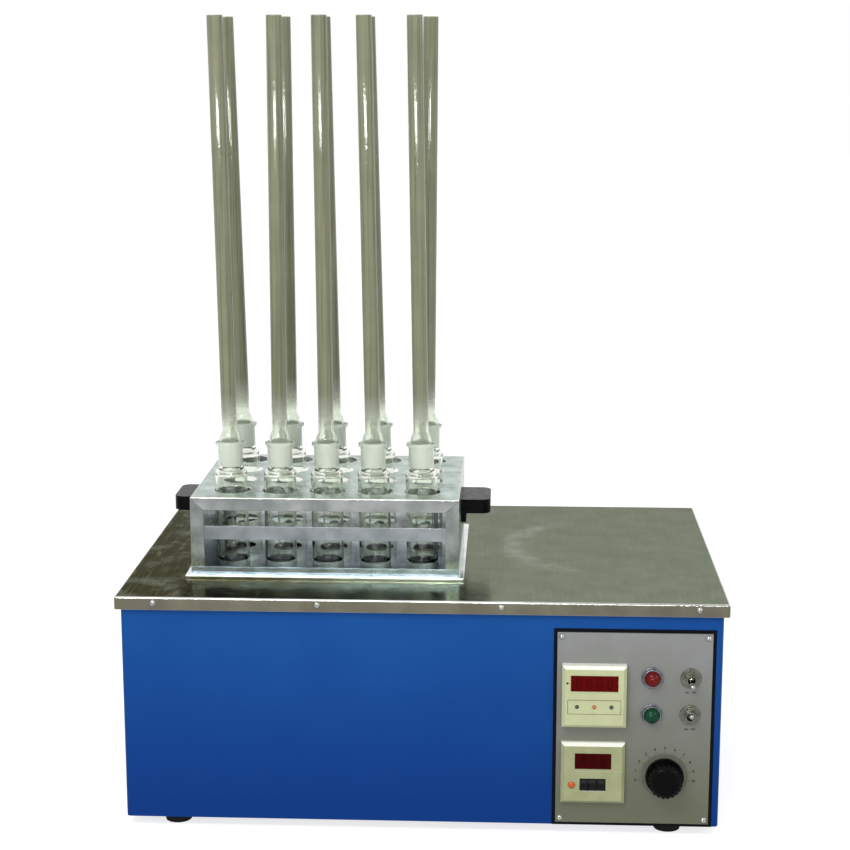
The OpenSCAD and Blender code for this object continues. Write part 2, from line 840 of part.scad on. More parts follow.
// Half section of a digestion tube: outline up the outside, then down the inside
module tube_section() {
    body_r = body_d / 2;
    tip_r = tip_d / 2;
    socket_r = socket_d / 2;
    bend = body_r - socket_r;
    inner_r = body_r - glass_t;
    inner_tip = tip_r - glass_t;
    inner_bend = inner_r - neck_r;
    polygon(concat(
        arc(0, tip_s + tip_r, tip_r, -90, 0),
        [[tip_r, cone_low_s], [body_r, cone_high_s]],
        arc(socket_r, shoulder_s - bend, bend, 0, 90),
        [
            [socket_r, rim_s - 1.6 * rim_t],
            [rim_d / 2, rim_s - rim_t],
            [rim_d / 2, rim_s - rim_t / 4],
            [rim_d / 2 - rim_t / 4, rim_s],
            [joint_d / 2 + joint_gap, rim_s],
            [neck_r, rim_s - joint_len],
            [neck_r, shoulder_s - glass_t]
        ],
        arc(neck_r, shoulder_s - glass_t - inner_bend, inner_bend, 90, 0),
        [[inner_r, cone_high_s + glass_t / 2], [inner_tip, cone_low_s + glass_t / 2]],
        arc(0, tip_s + tip_r, inner_tip, 0, -90)
    ));
}

module digestion_tube(g, c) {
    color([0.85, 0.9, 0.85, 0.4]) at_seat(g, c) rotate_extrude($fn = smooth) tube_section();
}

// Half section of an air condenser: ground cone, blended shoulder and long straight tube
module condenser_section() {
    bore_r = condenser_d / 2 - condenser_t;
    tube_r = condenser_d / 2;
    cone_r = joint_d / 2 + joint_taper * cone_show / 2;
    polygon(concat(
        [[joint_low_d / 2 - condenser_t, rim_s - joint_len], [joint_low_d / 2, rim_s - joint_len]],
        [for (i = [0 : arc_steps]) let (k = i / arc_steps)
            [tube_r + (cone_r - tube_r) * (1 + cos(180 * k)) / 2, rim_s + cone_show + cone_blend * k]],
        [
            [tube_r, condenser_top_s - condenser_t / 2],
            [tube_r - condenser_t / 3, condenser_top_s],
            [bore_r + condenser_t / 3, condenser_top_s],
            [bore_r, condenser_top_s - condenser_t / 2]
        ],
        [for (i = [arc_steps : -1 : 0]) let (k = i / arc_steps)
            [bore_r + (cone_r - tube_r) * (1 + cos(180 * k)) / 2, rim_s + cone_show + cone_blend * k]]
    ));
}

module air_condenser(g, c) {
    color([0.85, 0.9, 0.85, 0.4]) at_seat(g, c) rotate_extrude($fn = smooth) condenser_section();
}

// ---- control panel ----

// Places of the panel's corner screws: each child points out of the panel
module at_panel_screws() {
    for (u = [panel_screw_inset, panel_w - panel_screw_inset], v = [panel_screw_inset, panel_h - panel_screw_inset]) {
        on_panel(u, v) rotate([90, 0, 0]) children();
    }
}

module at_meter(i, y = panel_y) {
    on_panel(meter_u, timer_v + i * meter_step, y) children();
}

// Openings for the meters' bodies, through the panel, its surround and the case
module meter_openings() {
    opening = meter_size - 2 * body_inset + 2 * slip;
    for (i = [0, 1]) at_meter(i) box_out(opening, opening, panel_t + surround_t + 2 * case_t, past);
}

module control_panel() {
    color([0.5, 0.51, 0.47]) difference() {
        on_panel(panel_w / 2, panel_h / 2, panel_back_y) box_out(panel_w, panel_h, 0, panel_t);
        meter_openings();
        for (v = [upper_v, upper_v + lamp_step]) {
            on_panel(lamp_u, v) rod_out(lamp_body_d + slip, lamp_body_d + slip, panel_t + past, past);
            on_panel(toggle_u, v) rod_out(bush_d + slip, bush_d + slip, panel_t + past, past);
        }
        on_panel(knob_u, knob_v) rod_out(shaft_bush_d + slip, shaft_bush_d + slip, panel_t + past, past);
        at_panel_screws() screw_way();
    }
}

module panel_surround() {
    color([0.04, 0.04, 0.05]) difference() {
        on_panel(panel_w / 2, panel_h / 2, front_y)
            box_out(panel_w + 2 * surround_show, panel_h + 2 * surround_show, 0, surround_t);
        on_panel(panel_w / 2, panel_h / 2, front_y)
            box_out(panel_w - 2 * cutout_edge, panel_h - 2 * cutout_edge, past, surround_t + past);
        meter_openings();
        at_panel_screws() screw_way();
    }
}

module panel_screws() {
    color([0.8, 0.8, 0.78]) at_panel_screws() dome_screw(head_d = screw_head_d - 0.6);
}

// A meter's housing without its pockets: bevelled front and a body behind the panel
module meter_shell(out) {
    hull() {
        box_out(meter_size, meter_size, 0, out - meter_bevel);
        box_out(meter_size - 2 * meter_bevel, meter_size - 2 * meter_bevel, 0, out);
    }
    box_out(meter_size - 2 * body_inset, meter_size - 2 * body_inset, meter_body, 0);
}

// Shallow pocket in a meter's front
module pocket(size, deep) {
    box_out(size[0], size[1], deep, past);
}

module timer() {
    color([0.8, 0.83, 0.64]) difference() {
        at_meter(0) meter_shell(timer_out);
        at_meter(0, timer_y) {
            translate([0, 0, timer_window_up]) pocket(timer_window, pocket_deep);
            translate([0, 0, timer_strip_up]) pocket(timer_strip, strip_deep);
            translate([0, 0, flap_up]) pocket([meter_size - 2 * meter_bevel + past, groove_w], strip_deep);
            for (i = [-1 : 1]) {
                translate([i * timer_lamp_step, 0, timer_strip_up])
                    rod_out(lamp_dot_d + slip, lamp_dot_d + slip, pocket_deep + strip_deep, past);
            }
            translate([-side_lamp_left, 0, timer_window_up])
                rod_out(side_lamp_d + slip, side_lamp_d + slip, pocket_deep, past);
        }
    }
}

// Coloured window set in a meter's front
module meter_window(i, y, size, up) {
    at_meter(i, y) translate([0, 0, up]) box_out(size[0] - slip, size[1] - slip, pocket_deep, window_proud);
}

module timer_window() {
    color([0.39, 0.02, 0.02]) meter_window(0, timer_y, timer_window, timer_window_up);
}

module controller() {
    cavity_w = wheel_count * wheel_step;
    color([0.66, 0.64, 0.49]) {
        difference() {
            at_meter(1) meter_shell(controller_out);
            at_meter(1, controller_y) {
                translate([0, 0, controller_window_up]) pocket(controller_window, pocket_deep);
                translate([0, 0, flap_up - 1]) pocket([meter_size - 2 * meter_bevel + past, groove_w], strip_deep);
                translate([-controller_lamp_left, 0, controller_lamp_up])
                    rod_out(controller_lamp_d + slip, controller_lamp_d + slip, pocket_deep, past);
                translate([0, 0, thumb_up]) pocket([cavity_w, thumb_h], wheel_d / 2);
            }
            translate([panel_x + meter_u - cavity_w / 2, wheel_y, wheel_z]) rotate([0, 90, 0])
                cylinder(d = wheel_d + 2 * seat_gap, h = cavity_w, $fn = smooth);
        }
        translate([panel_x + meter_u - cavity_w / 2 - past, wheel_y, wheel_z]) rotate([0, 90, 0])
            cylinder(d = wheel_pin_d, h = cavity_w + 2 * past, $fn = fine);
    }
}

module controller_window() {
    color([0.24, 0.01, 0.01]) meter_window(1, controller_y, controller_window, controller_window_up);
}

// Small domed lamp sunk in a meter's front
module dot_lamp(d, deep) {
    translate([0, deep, 0]) rotate([90, 0, 0]) {
        cylinder(d = d, h = deep, $fn = fine);
        translate([0, 0, deep]) intersection() {
            translate([0, 0, -d / 4]) sphere(r = d * 0.56, $fn = fine);
            cylinder(d = d, h = d / 2, $fn = fine);
        }
    }
}

module meter_lamps() {
    color([0.75, 0.3, 0.08]) {
        at_meter(0, timer_y) {
            for (i = [-1 : 1]) {
                translate([i * timer_lamp_step, 0, timer_strip_up]) dot_lamp(lamp_dot_d, pocket_deep + strip_deep);
            }
            translate([-side_lamp_left, 0, timer_window_up]) dot_lamp(side_lamp_d, pocket_deep);
        }
        at_meter(1, controller_y) translate([-controller_lamp_left, 0, controller_lamp_up])
            dot_lamp(controller_lamp_d, pocket_deep);
    }
}

// Setting wheel number i, with a milled rim, on the controller's pin
module thumbwheel(i) {
    teeth = 20;
    color([0.05, 0.05, 0.05])
    translate([
        panel_x + meter_u + (i - (wheel_count + 1) / 2) * wheel_step - wheel_w / 2,
        wheel_y,
        wheel_z
    ]) rotate([0, 90, 0]) difference() {
        cylinder(d = wheel_d, h = wheel_w, $fn = smooth);
        translate([0, 0, -past]) cylinder(d = wheel_pin_d + 2 * hinge_fit, h = wheel_w + 2 * past, $fn = fine);
        for (t = [0 : teeth - 1]) {
            rotate(t * 360 / teeth) translate([wheel_d / 2, 0, wheel_w * 0.78])
                cylinder(d = 1.2, h = wheel_w, $fn = 16);
        }
    }
}

// Pilot lamp without its lens: body behind the panel, rim and a tapered collar
module pilot_lamp_body() {
    difference() {
        union() {
            rod_out(lamp_body_d, lamp_body_d, lamp_body_len, 0);
            rod_out(lamp_rim_d, lamp_rim_d, 0, lamp_rim_t);
            translate([0, -lamp_rim_t, 0])
                rod_out(lamp_rim_d - lamp_rim_t, lamp_collar_d, 0, lamp_collar_h - lamp_rim_t);
        }
        rod_out(lens_d + slip, lens_d + slip, -lens_seat, lamp_collar_h + past);
    }
}

module pilot_lamp_bodies() {
    color([0.7, 0.71, 0.7]) for (v = [upper_v, upper_v + lamp_step]) on_panel(lamp_u, v) pilot_lamp_body();
}

// Domed lens of a pilot lamp
module lens(v) {
    dome_h = lens_d * 0.36;
    ball_r = (lens_d * lens_d / 4 + dome_h * dome_h) / (2 * dome_h);
    on_panel(lamp_u, v) rotate([90, 0, 0]) {
        translate([0, 0, lens_seat]) cylinder(d = lens_d, h = lens_out - dome_h - lens_seat, $fn = smooth);
        translate([0, 0, lens_out - dome_h]) intersection() {
            translate([0, 0, dome_h - ball_r]) sphere(r = ball_r, $fn = smooth);
            cylinder(d = lens_d, h = dome_h, $fn = smooth);
        }
    }
}

module red_lens() {
    color([0.5, 0.02, 0.02]) lens(upper_v);
}

module green_lens() {
    color([0.02, 0.3, 0.15]) lens(upper_v + lamp_step);
}

// Toggle switch without its lever: body behind the panel, threaded bush, washer and nut
module toggle_switch() {
    difference() {
        union() {
            translate([0, panel_t, 0]) box_out(switch_w, switch_h, switch_deep, 0);
            rod_out(bush_d, bush_d, panel_t + past, bush_out);
            rod_out(washer_d, washer_d - 1, 0, washer_t);
            rotate([90, 0, 0]) cylinder(d = nut_d, h = washer_t + nut_t, $fn = 6);
        }
        rod_out(bush_bore_d, bush_bore_d, ball_d / 2 + seat_gap - lever_pivot_out, bush_out + past);
    }
}

module toggle_switches() {
    color([0.72, 0.72, 0.7]) for (v = [upper_v, upper_v + lamp_step]) on_panel(toggle_u, v) toggle_switch();
}

// Toggle lever: a ball in the bush and a bat that widens to a round tip, tilted from straight out
module toggle_lever(v, tilt) {
    bat_len = lever_out - lever_pivot_out - lever_tip_d / 2;
    color([0.85, 0.85, 0.84]) on_panel(toggle_u, v, panel_y - lever_pivot_out) rotate([90 - tilt, 0, 0]) {
        sphere(d = ball_d, $fn = fine);
        cylinder(d1 = lever_root_d, d2 = lever_tip_d, h = bat_len, $fn = fine);
        translate([0, 0, bat_len]) sphere(d = lever_tip_d, $fn = fine);
    }
}

module toggle_lever_upper() {
    toggle_lever(upper_v, -lever_tilt);
}

module toggle_lever_lower() {
    toggle_lever(upper_v + lamp_step, lever_tilt);
}

// Regulator behind the knob, with its dial ring on the panel
module regulator() {
    color([0.25, 0.25, 0.27]) on_panel(knob_u, knob_v) {
        translate([0, panel_t, 0]) box_out(regulator_size, regulator_size, regulator_deep, 0);
        difference() {
            rod_out(dial_d, dial_d, 0, dial_t);
            rod_out(shaft_bush_d, shaft_bush_d, past, dial_t + past);
        }
        rod_out(shaft_bush_d, shaft_bush_d, panel_t + past, dial_t);
        rod_out(shaft_d, shaft_d, panel_t + past, shaft_in_knob);
    }
}

// Outline of the knob's fluted grip
module fluted_outline() {
    difference() {
        circle(d = knob_grip_d, $fn = smooth);
        for (i = [0 : flute_count - 1]) {
            rotate(i * 360 / flute_count) translate([knob_grip_d / 2 + flute_out, 0]) circle(d = flute_d, $fn = 24);
        }
    }
}

// Knob with a skirt, a fluted grip and a bevelled cap, bored for the regulator's shaft
module regulator_knob() {
    grip_z = knob_lift + knob_skirt_h;
    cap_z = knob_out - knob_cap_h;
    color([0.05, 0.05, 0.05]) on_panel(knob_u, knob_v) rotate([90, 0, 0]) difference() {
        union() {
            translate([0, 0, knob_lift]) cylinder(d = knob_d, h = knob_skirt_h, $fn = smooth);
            translate([0, 0, grip_z]) linear_extrude(cap_z - grip_z) fluted_outline();
            translate([0, 0, cap_z])
                cylinder(d1 = knob_cap_d, d2 = knob_cap_d - 2 * knob_cap_h, h = knob_cap_h, $fn = smooth);
        }
        rotate(pointer_angle) translate([pointer_from, -pointer_w / 2, knob_out - pointer_deep])
            cube([knob_d, pointer_w, pointer_deep + past]);
        cylinder(d = shaft_d + 2 * hinge_fit, h = shaft_in_knob + seat_gap, $fn = smooth);
    }
}

// ---- which pieces to draw ----

placed() case_body();
placed() rear_panel();
placed() top_cover();
placed() case_screws();
placed() rubber_feet();
placed() heating_block();
placed() heater_plate();
placed() block_insulation();
placed() block_housing();
placed() block_bezel();
placed() temperature_probe();
placed() cable_gland();
placed() fuse_holder();
placed() rack_top_plate();
placed() rack_middle_shelf();
placed() rack_bottom_plate();
placed() rack_side(-1);  // rack_side_left
placed() rack_side(1);  // rack_side_right
placed() handle_left();
placed() handle_right();
placed() handle_screws();
for (g = [0 : len(glass_rows) - 1], c = [0 : columns - 1]) {
    placed() digestion_tube(g, c);
    placed() air_condenser(g, c);
}
placed() control_panel();
placed() panel_surround();
placed() panel_screws();
placed() timer();
placed() timer_window();
placed() controller();
placed() controller_window();
placed() meter_lamps();
for (i = [1 : wheel_count]) {
    placed() thumbwheel(i);
}
placed() pilot_lamp_bodies();
placed() red_lens();
placed() green_lens();
placed() toggle_switches();
placed() toggle_lever_upper();
placed() toggle_lever_lower();
placed() regulator();
placed() regulator_knob();
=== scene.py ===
"""Block digester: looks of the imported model.

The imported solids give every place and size. This script softens their edges, turns the glass,
prints the dial, and gives each piece the finish of what it is made of.
"""

import json
import logging
import math
from collections.abc import Callable, Iterable, Sequence
from dataclasses import dataclass, field
from enum import Enum, IntEnum

import bmesh
import bpy
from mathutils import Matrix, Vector

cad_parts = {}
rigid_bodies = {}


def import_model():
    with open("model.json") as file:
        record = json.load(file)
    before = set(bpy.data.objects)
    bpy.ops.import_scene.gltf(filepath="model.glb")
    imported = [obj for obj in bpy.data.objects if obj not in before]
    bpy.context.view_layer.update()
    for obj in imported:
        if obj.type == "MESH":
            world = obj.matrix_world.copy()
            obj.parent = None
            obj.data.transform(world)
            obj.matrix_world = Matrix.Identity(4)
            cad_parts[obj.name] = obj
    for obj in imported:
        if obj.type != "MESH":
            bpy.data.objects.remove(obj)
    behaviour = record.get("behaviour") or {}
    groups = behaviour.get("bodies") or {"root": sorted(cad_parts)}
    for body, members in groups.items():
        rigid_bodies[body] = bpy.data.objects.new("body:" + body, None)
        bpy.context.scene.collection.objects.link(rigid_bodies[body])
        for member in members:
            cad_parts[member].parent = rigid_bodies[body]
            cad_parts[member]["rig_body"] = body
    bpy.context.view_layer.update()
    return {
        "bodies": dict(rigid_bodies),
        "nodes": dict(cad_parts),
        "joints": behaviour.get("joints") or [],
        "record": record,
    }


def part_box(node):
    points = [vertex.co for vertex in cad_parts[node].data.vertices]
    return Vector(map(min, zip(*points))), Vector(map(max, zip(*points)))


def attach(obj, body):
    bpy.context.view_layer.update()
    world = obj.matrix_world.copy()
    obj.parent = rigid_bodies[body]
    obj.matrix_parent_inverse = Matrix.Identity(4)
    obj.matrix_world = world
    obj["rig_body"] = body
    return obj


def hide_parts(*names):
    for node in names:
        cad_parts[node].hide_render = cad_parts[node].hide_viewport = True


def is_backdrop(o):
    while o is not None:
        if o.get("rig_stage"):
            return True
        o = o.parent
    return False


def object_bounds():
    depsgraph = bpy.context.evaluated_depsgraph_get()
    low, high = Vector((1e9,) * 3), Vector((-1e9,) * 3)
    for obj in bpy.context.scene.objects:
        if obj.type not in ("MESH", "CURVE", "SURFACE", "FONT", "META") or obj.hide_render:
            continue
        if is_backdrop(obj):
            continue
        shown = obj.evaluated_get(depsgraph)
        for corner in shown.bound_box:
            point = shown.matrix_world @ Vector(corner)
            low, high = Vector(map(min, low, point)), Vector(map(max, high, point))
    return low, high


LOG = logging.getLogger("digester")

Point = tuple[float, float, float]
Profile = list[tuple[float, float]]
Node = bpy.types.Node
Socket = bpy.types.NodeSocket


# ---- units and colours ----


def mm(value: float) -> float:
    """Turn millimetres into metres.

    Args:
        value: A length in millimetres.

    Returns:
        The length in metres.
    """
    return value / 1000.0


def scale_for(size_mm: float) -> float:
    """Give the texture scale at which one feature of a pattern is as wide as asked.

    Args:
        size_mm: Real width of one feature, in millimetres.

    Returns:
        The scale for a texture that reads Object coordinates in metres.
    """
    return 1000.0 / size_mm


def linear(hex_colour: str) -> tuple[float, float, float, float]:
    """Turn an sRGB hex colour into the linear colour that a shader takes.

    Args:
        hex_colour: Six hex digits, such as "1d488d".

    Returns:
        Linear red, green and blue, and an alpha of 1.
    """
    channels = [int(hex_colour[i : i + 2], 16) / 255.0 for i in (0, 2, 4)]
    red, green, blue = (c / 12.92 if c <= 0.04045 else ((c + 0.055) / 1.055) ** 2.4 for c in channels)
    return red, green, blue, 1.0


def add_node(tree: bpy.types.NodeTree, kind: str, inputs: dict | None = None, **settings: object) -> Node:
    """Add one node with its settings, values and links.

    Args:
        tree: The node tree that takes the node.
        kind: The node's type, such as "ShaderNodeTexNoise".
        inputs: For each input, by name or number, a value or the socket that feeds it.
        **settings: Properties of the node itself.

    Returns:
        The new node.
    """
    node = tree.nodes.new(kind)
    for name, value in settings.items():
        setattr(node, name, value)
    for key, value in (inputs or {}).items():
        if isinstance(value, bpy.types.NodeSocket):
            tree.links.new(value, node.inputs[key])
        else:
            node.inputs[key].default_value = value
    return node


# ---- finishes ----

PATCH_EDGES = (0.35, 0.65)  # noise between which the main colour gives way to the second tone
SMEAR_EDGES = (0.3, 0.7)  # noise between which the roughness swings
SMEAR_SHARE = 0.6  # width of a smear against a patch of colour
LEAST_ROUGHNESS = 0.02


class Brush(Enum):
    """Which way a sheet was brushed, as the stretch of its grain along X, Y and Z."""

    NONE = (1.0, 1.0, 1.0)
    ALONG_X = (0.03, 1.0, 1.0)
    ALONG_Y = (1.0, 0.03, 1.0)
    ALONG_Z = (1.0, 1.0, 0.03)


@dataclass(frozen=True)
class Finish:
    """A finish whose colour varies a little between two tones, with a fine relief.

    Attributes:
        name: The material's name.
        colour: Main colour, sRGB hex.
        second: The tone that the main colour drifts to, sRGB hex.
        patch_mm: Width of one patch of the second tone.
        patch_share: How much of the second tone shows, 0 to 1.
        grain_mm: Width of one grain of the relief.
        relief_mm: Height of the relief.
        roughness: Mean roughness.
        roughness_swing: How far the roughness drifts to each side.
        brush: Direction of the grain.
        specular: Strength of the plain gloss, 0.5 for a clean surface.
    """

    name: str
    colour: str
    second: str
    patch_mm: float = 60.0
    patch_share: float = 0.5
    grain_mm: float = 1.0
    relief_mm: float = 0.01
    roughness: float = 0.4
    roughness_swing: float = 0.08
    brush: Brush = Brush.NONE
    specular: float = 0.5

    def shader_values(self) -> dict:
        """Give the shader's own constant values, such as its metallic value."""
        return {"Specular IOR Level": self.specular}

    def varying_values(self, tree: bpy.types.NodeTree, place: Socket) -> dict:
        """Give further inputs of the shader that change over the surface."""
        return {}

    def colour_socket(self, tree: bpy.types.NodeTree, place: Socket) -> Socket:
        """Build the colour.

        Args:
            tree: The material's tree.
            place: Object coordinates.

        Returns:
            The socket that gives the colour.
        """
        patches = add_node(
            tree, "ShaderNodeTexNoise", {"Vector": place, "Scale": scale_for(self.patch_mm), "Detail": 5.0}
        )
        share = add_node(
            tree,
            "ShaderNodeMapRange",
            {
                "Value": patches.outputs["Fac"],
                "From Min": PATCH_EDGES[0],
                "From Max": PATCH_EDGES[1],
                "To Max": self.patch_share,
            },
        )
        tones = add_node(
            tree,
            "ShaderNodeMix",
            {"Factor": share.outputs["Result"], 6: linear(self.colour), 7: linear(self.second)},
            data_type="RGBA",
        )
        return tones.outputs[2]

    def relief_socket(self, tree: bpy.types.NodeTree, place: Socket) -> Socket:
        """Build the relief.

        Args:
            tree: The material's tree.
            place: Object coordinates.

        Returns:
            The socket that gives the bumped normal.
        """
        stretched = add_node(tree, "ShaderNodeMapping", {"Vector": place, "Scale": self.brush.value})
        grain = add_node(
            tree,
            "ShaderNodeTexNoise",
            {"Vector": stretched.outputs["Vector"], "Scale": scale_for(self.grain_mm), "Detail": 3.0},
        )
        bump = add_node(
            tree,
            "ShaderNodeBump",
            {"Height": grain.outputs["Fac"], "Strength": 1.0, "Distance": mm(self.relief_mm)},
        )
        return bump.outputs["Normal"]

    def roughness_socket(self, tree: bpy.types.NodeTree, place: Socket) -> Socket:
        """Build the roughness, smeared as handling leaves it.

        Args:
            tree: The material's tree.
            place: Object coordinates.

        Returns:
            The socket that gives the roughness.
        """
        smears = add_node(
            tree,
            "ShaderNodeTexNoise",
            {"Vector": place, "Scale": scale_for(self.patch_mm * SMEAR_SHARE), "Detail": 4.0},
        )
        swing = add_node(
            tree,
            "ShaderNodeMapRange",
            {
                "Value": smears.outputs["Fac"],
                "From Min": SMEAR_EDGES[0],
                "From Max": SMEAR_EDGES[1],
                "To Min": max(self.roughness - self.roughness_swing, LEAST_ROUGHNESS),
                "To Max": min(self.roughness + self.roughness_swing, 1.0),
            },
        )
        return swing.outputs["Result"]

    def make(self) -> bpy.types.Material:
        """Build the material, once for each name.

        Returns:
            The material.
        """
        found = bpy.data.materials.get(self.name)
        if found:
            return found
        material = bpy.data.materials.new(self.name)
        material.use_nodes = True
        material.diffuse_color = linear(self.colour)
        tree = material.node_tree
        tree.nodes.clear()
        place = add_node(tree, "ShaderNodeTexCoord").outputs["Object"]
        shader = add_node(
            tree,
            "ShaderNodeBsdfPrincipled",
            {
                "Base Color": self.colour_socket(tree, place),
                "Roughness": self.roughness_socket(tree, place),
                "Normal": self.relief_socket(tree, place),
                **self.shader_values(),
                **self.varying_values(tree, place),
            },
        )
        add_node(tree, "ShaderNodeOutputMaterial", {"Surface": shader.outputs["BSDF"]})
        return material


@dataclass(frozen=True)
class Enamel(Finish):
    """Stoved enamel on sheet steel: an even colour with a faint orange peel and a soft gloss.

    Attributes:
        specular: Strength of the plain gloss.
        coat: Weight of a clear skin over the colour.
        coat_roughness: Roughness of that skin.
        ior: Index of refraction of the resin.
    """

    specular: float = 0.2
    coat: float = 0.1
    coat_roughness: float = 0.18
    ior: float = 1.5

    def shader_values(self) -> dict:
        """Give the enamel's coat and index."""
        return {
            **super().shader_values(),
            "Coat Weight": self.coat,
            "Coat Roughness": self.coat_roughness,
            "IOR": self.ior,
        }


@dataclass(frozen=True)
class GradedEnamel(Enamel):
    """Enamel or lacquer with painted shade that deepens its tone from its top edge down.

    Attributes:
        low_colour: The tone of the painted shade at its foot, sRGB hex.
        foot_z: Height of its foot, in metres.
        head_z: Height of its top edge, in metres.
    """

    low_colour: str = "6a6d5a"
    foot_z: float = 0.03
    head_z: float = 0.235

    def colour_socket(self, tree: bpy.types.NodeTree, place: Socket) -> Socket:
        """Build the colour and the painted shade that deepens it.

        Args:
            tree: The material's tree.
            place: Object coordinates.

        Returns:
            The socket that gives the colour.
        """
        clean = super().colour_socket(tree, place)
        # Painted shade: the colour deepens from the top edge down to the foot
        height = add_node(tree, "ShaderNodeSeparateXYZ", {"Vector": place}).outputs["Z"]
        shade_share = add_node(
            tree, "ShaderNodeMapRange", {"Value": height, "From Min": self.head_z, "From Max": self.foot_z}
        )
        mixed = add_node(
            tree,
            "ShaderNodeMix",
            {"Factor": shade_share.outputs["Result"], 6: clean, 7: linear(self.low_colour)},
            data_type="RGBA",
        )
        return mixed.outputs[2]


@dataclass(frozen=True)
class Plastic(Finish):
    """Moulded plastic or phenolic: dense colour, soft gloss, a fine mould texture.

    Attributes:
        coat: Weight of the smooth skin that the mould leaves.
        coat_roughness: Roughness of that skin.
        ior: Index of refraction of the plastic.
    """

    coat: float = 0.0
    coat_roughness: float = 0.08
    ior: float = 1.46

    def shader_values(self) -> dict:
        """Give the plastic's skin and index."""
        return {
            **super().shader_values(),
            "Coat Weight": self.coat,
            "Coat Roughness": self.coat_roughness,
            "IOR": self.ior,
        }


@dataclass(frozen=True)
class Metal(Finish):
    """Bare metal, brushed or polished, whose colour is the colour that it reflects."""

    def shader_values(self) -> dict:
        """Make it a metal."""
        return {"Metallic": 1.0}


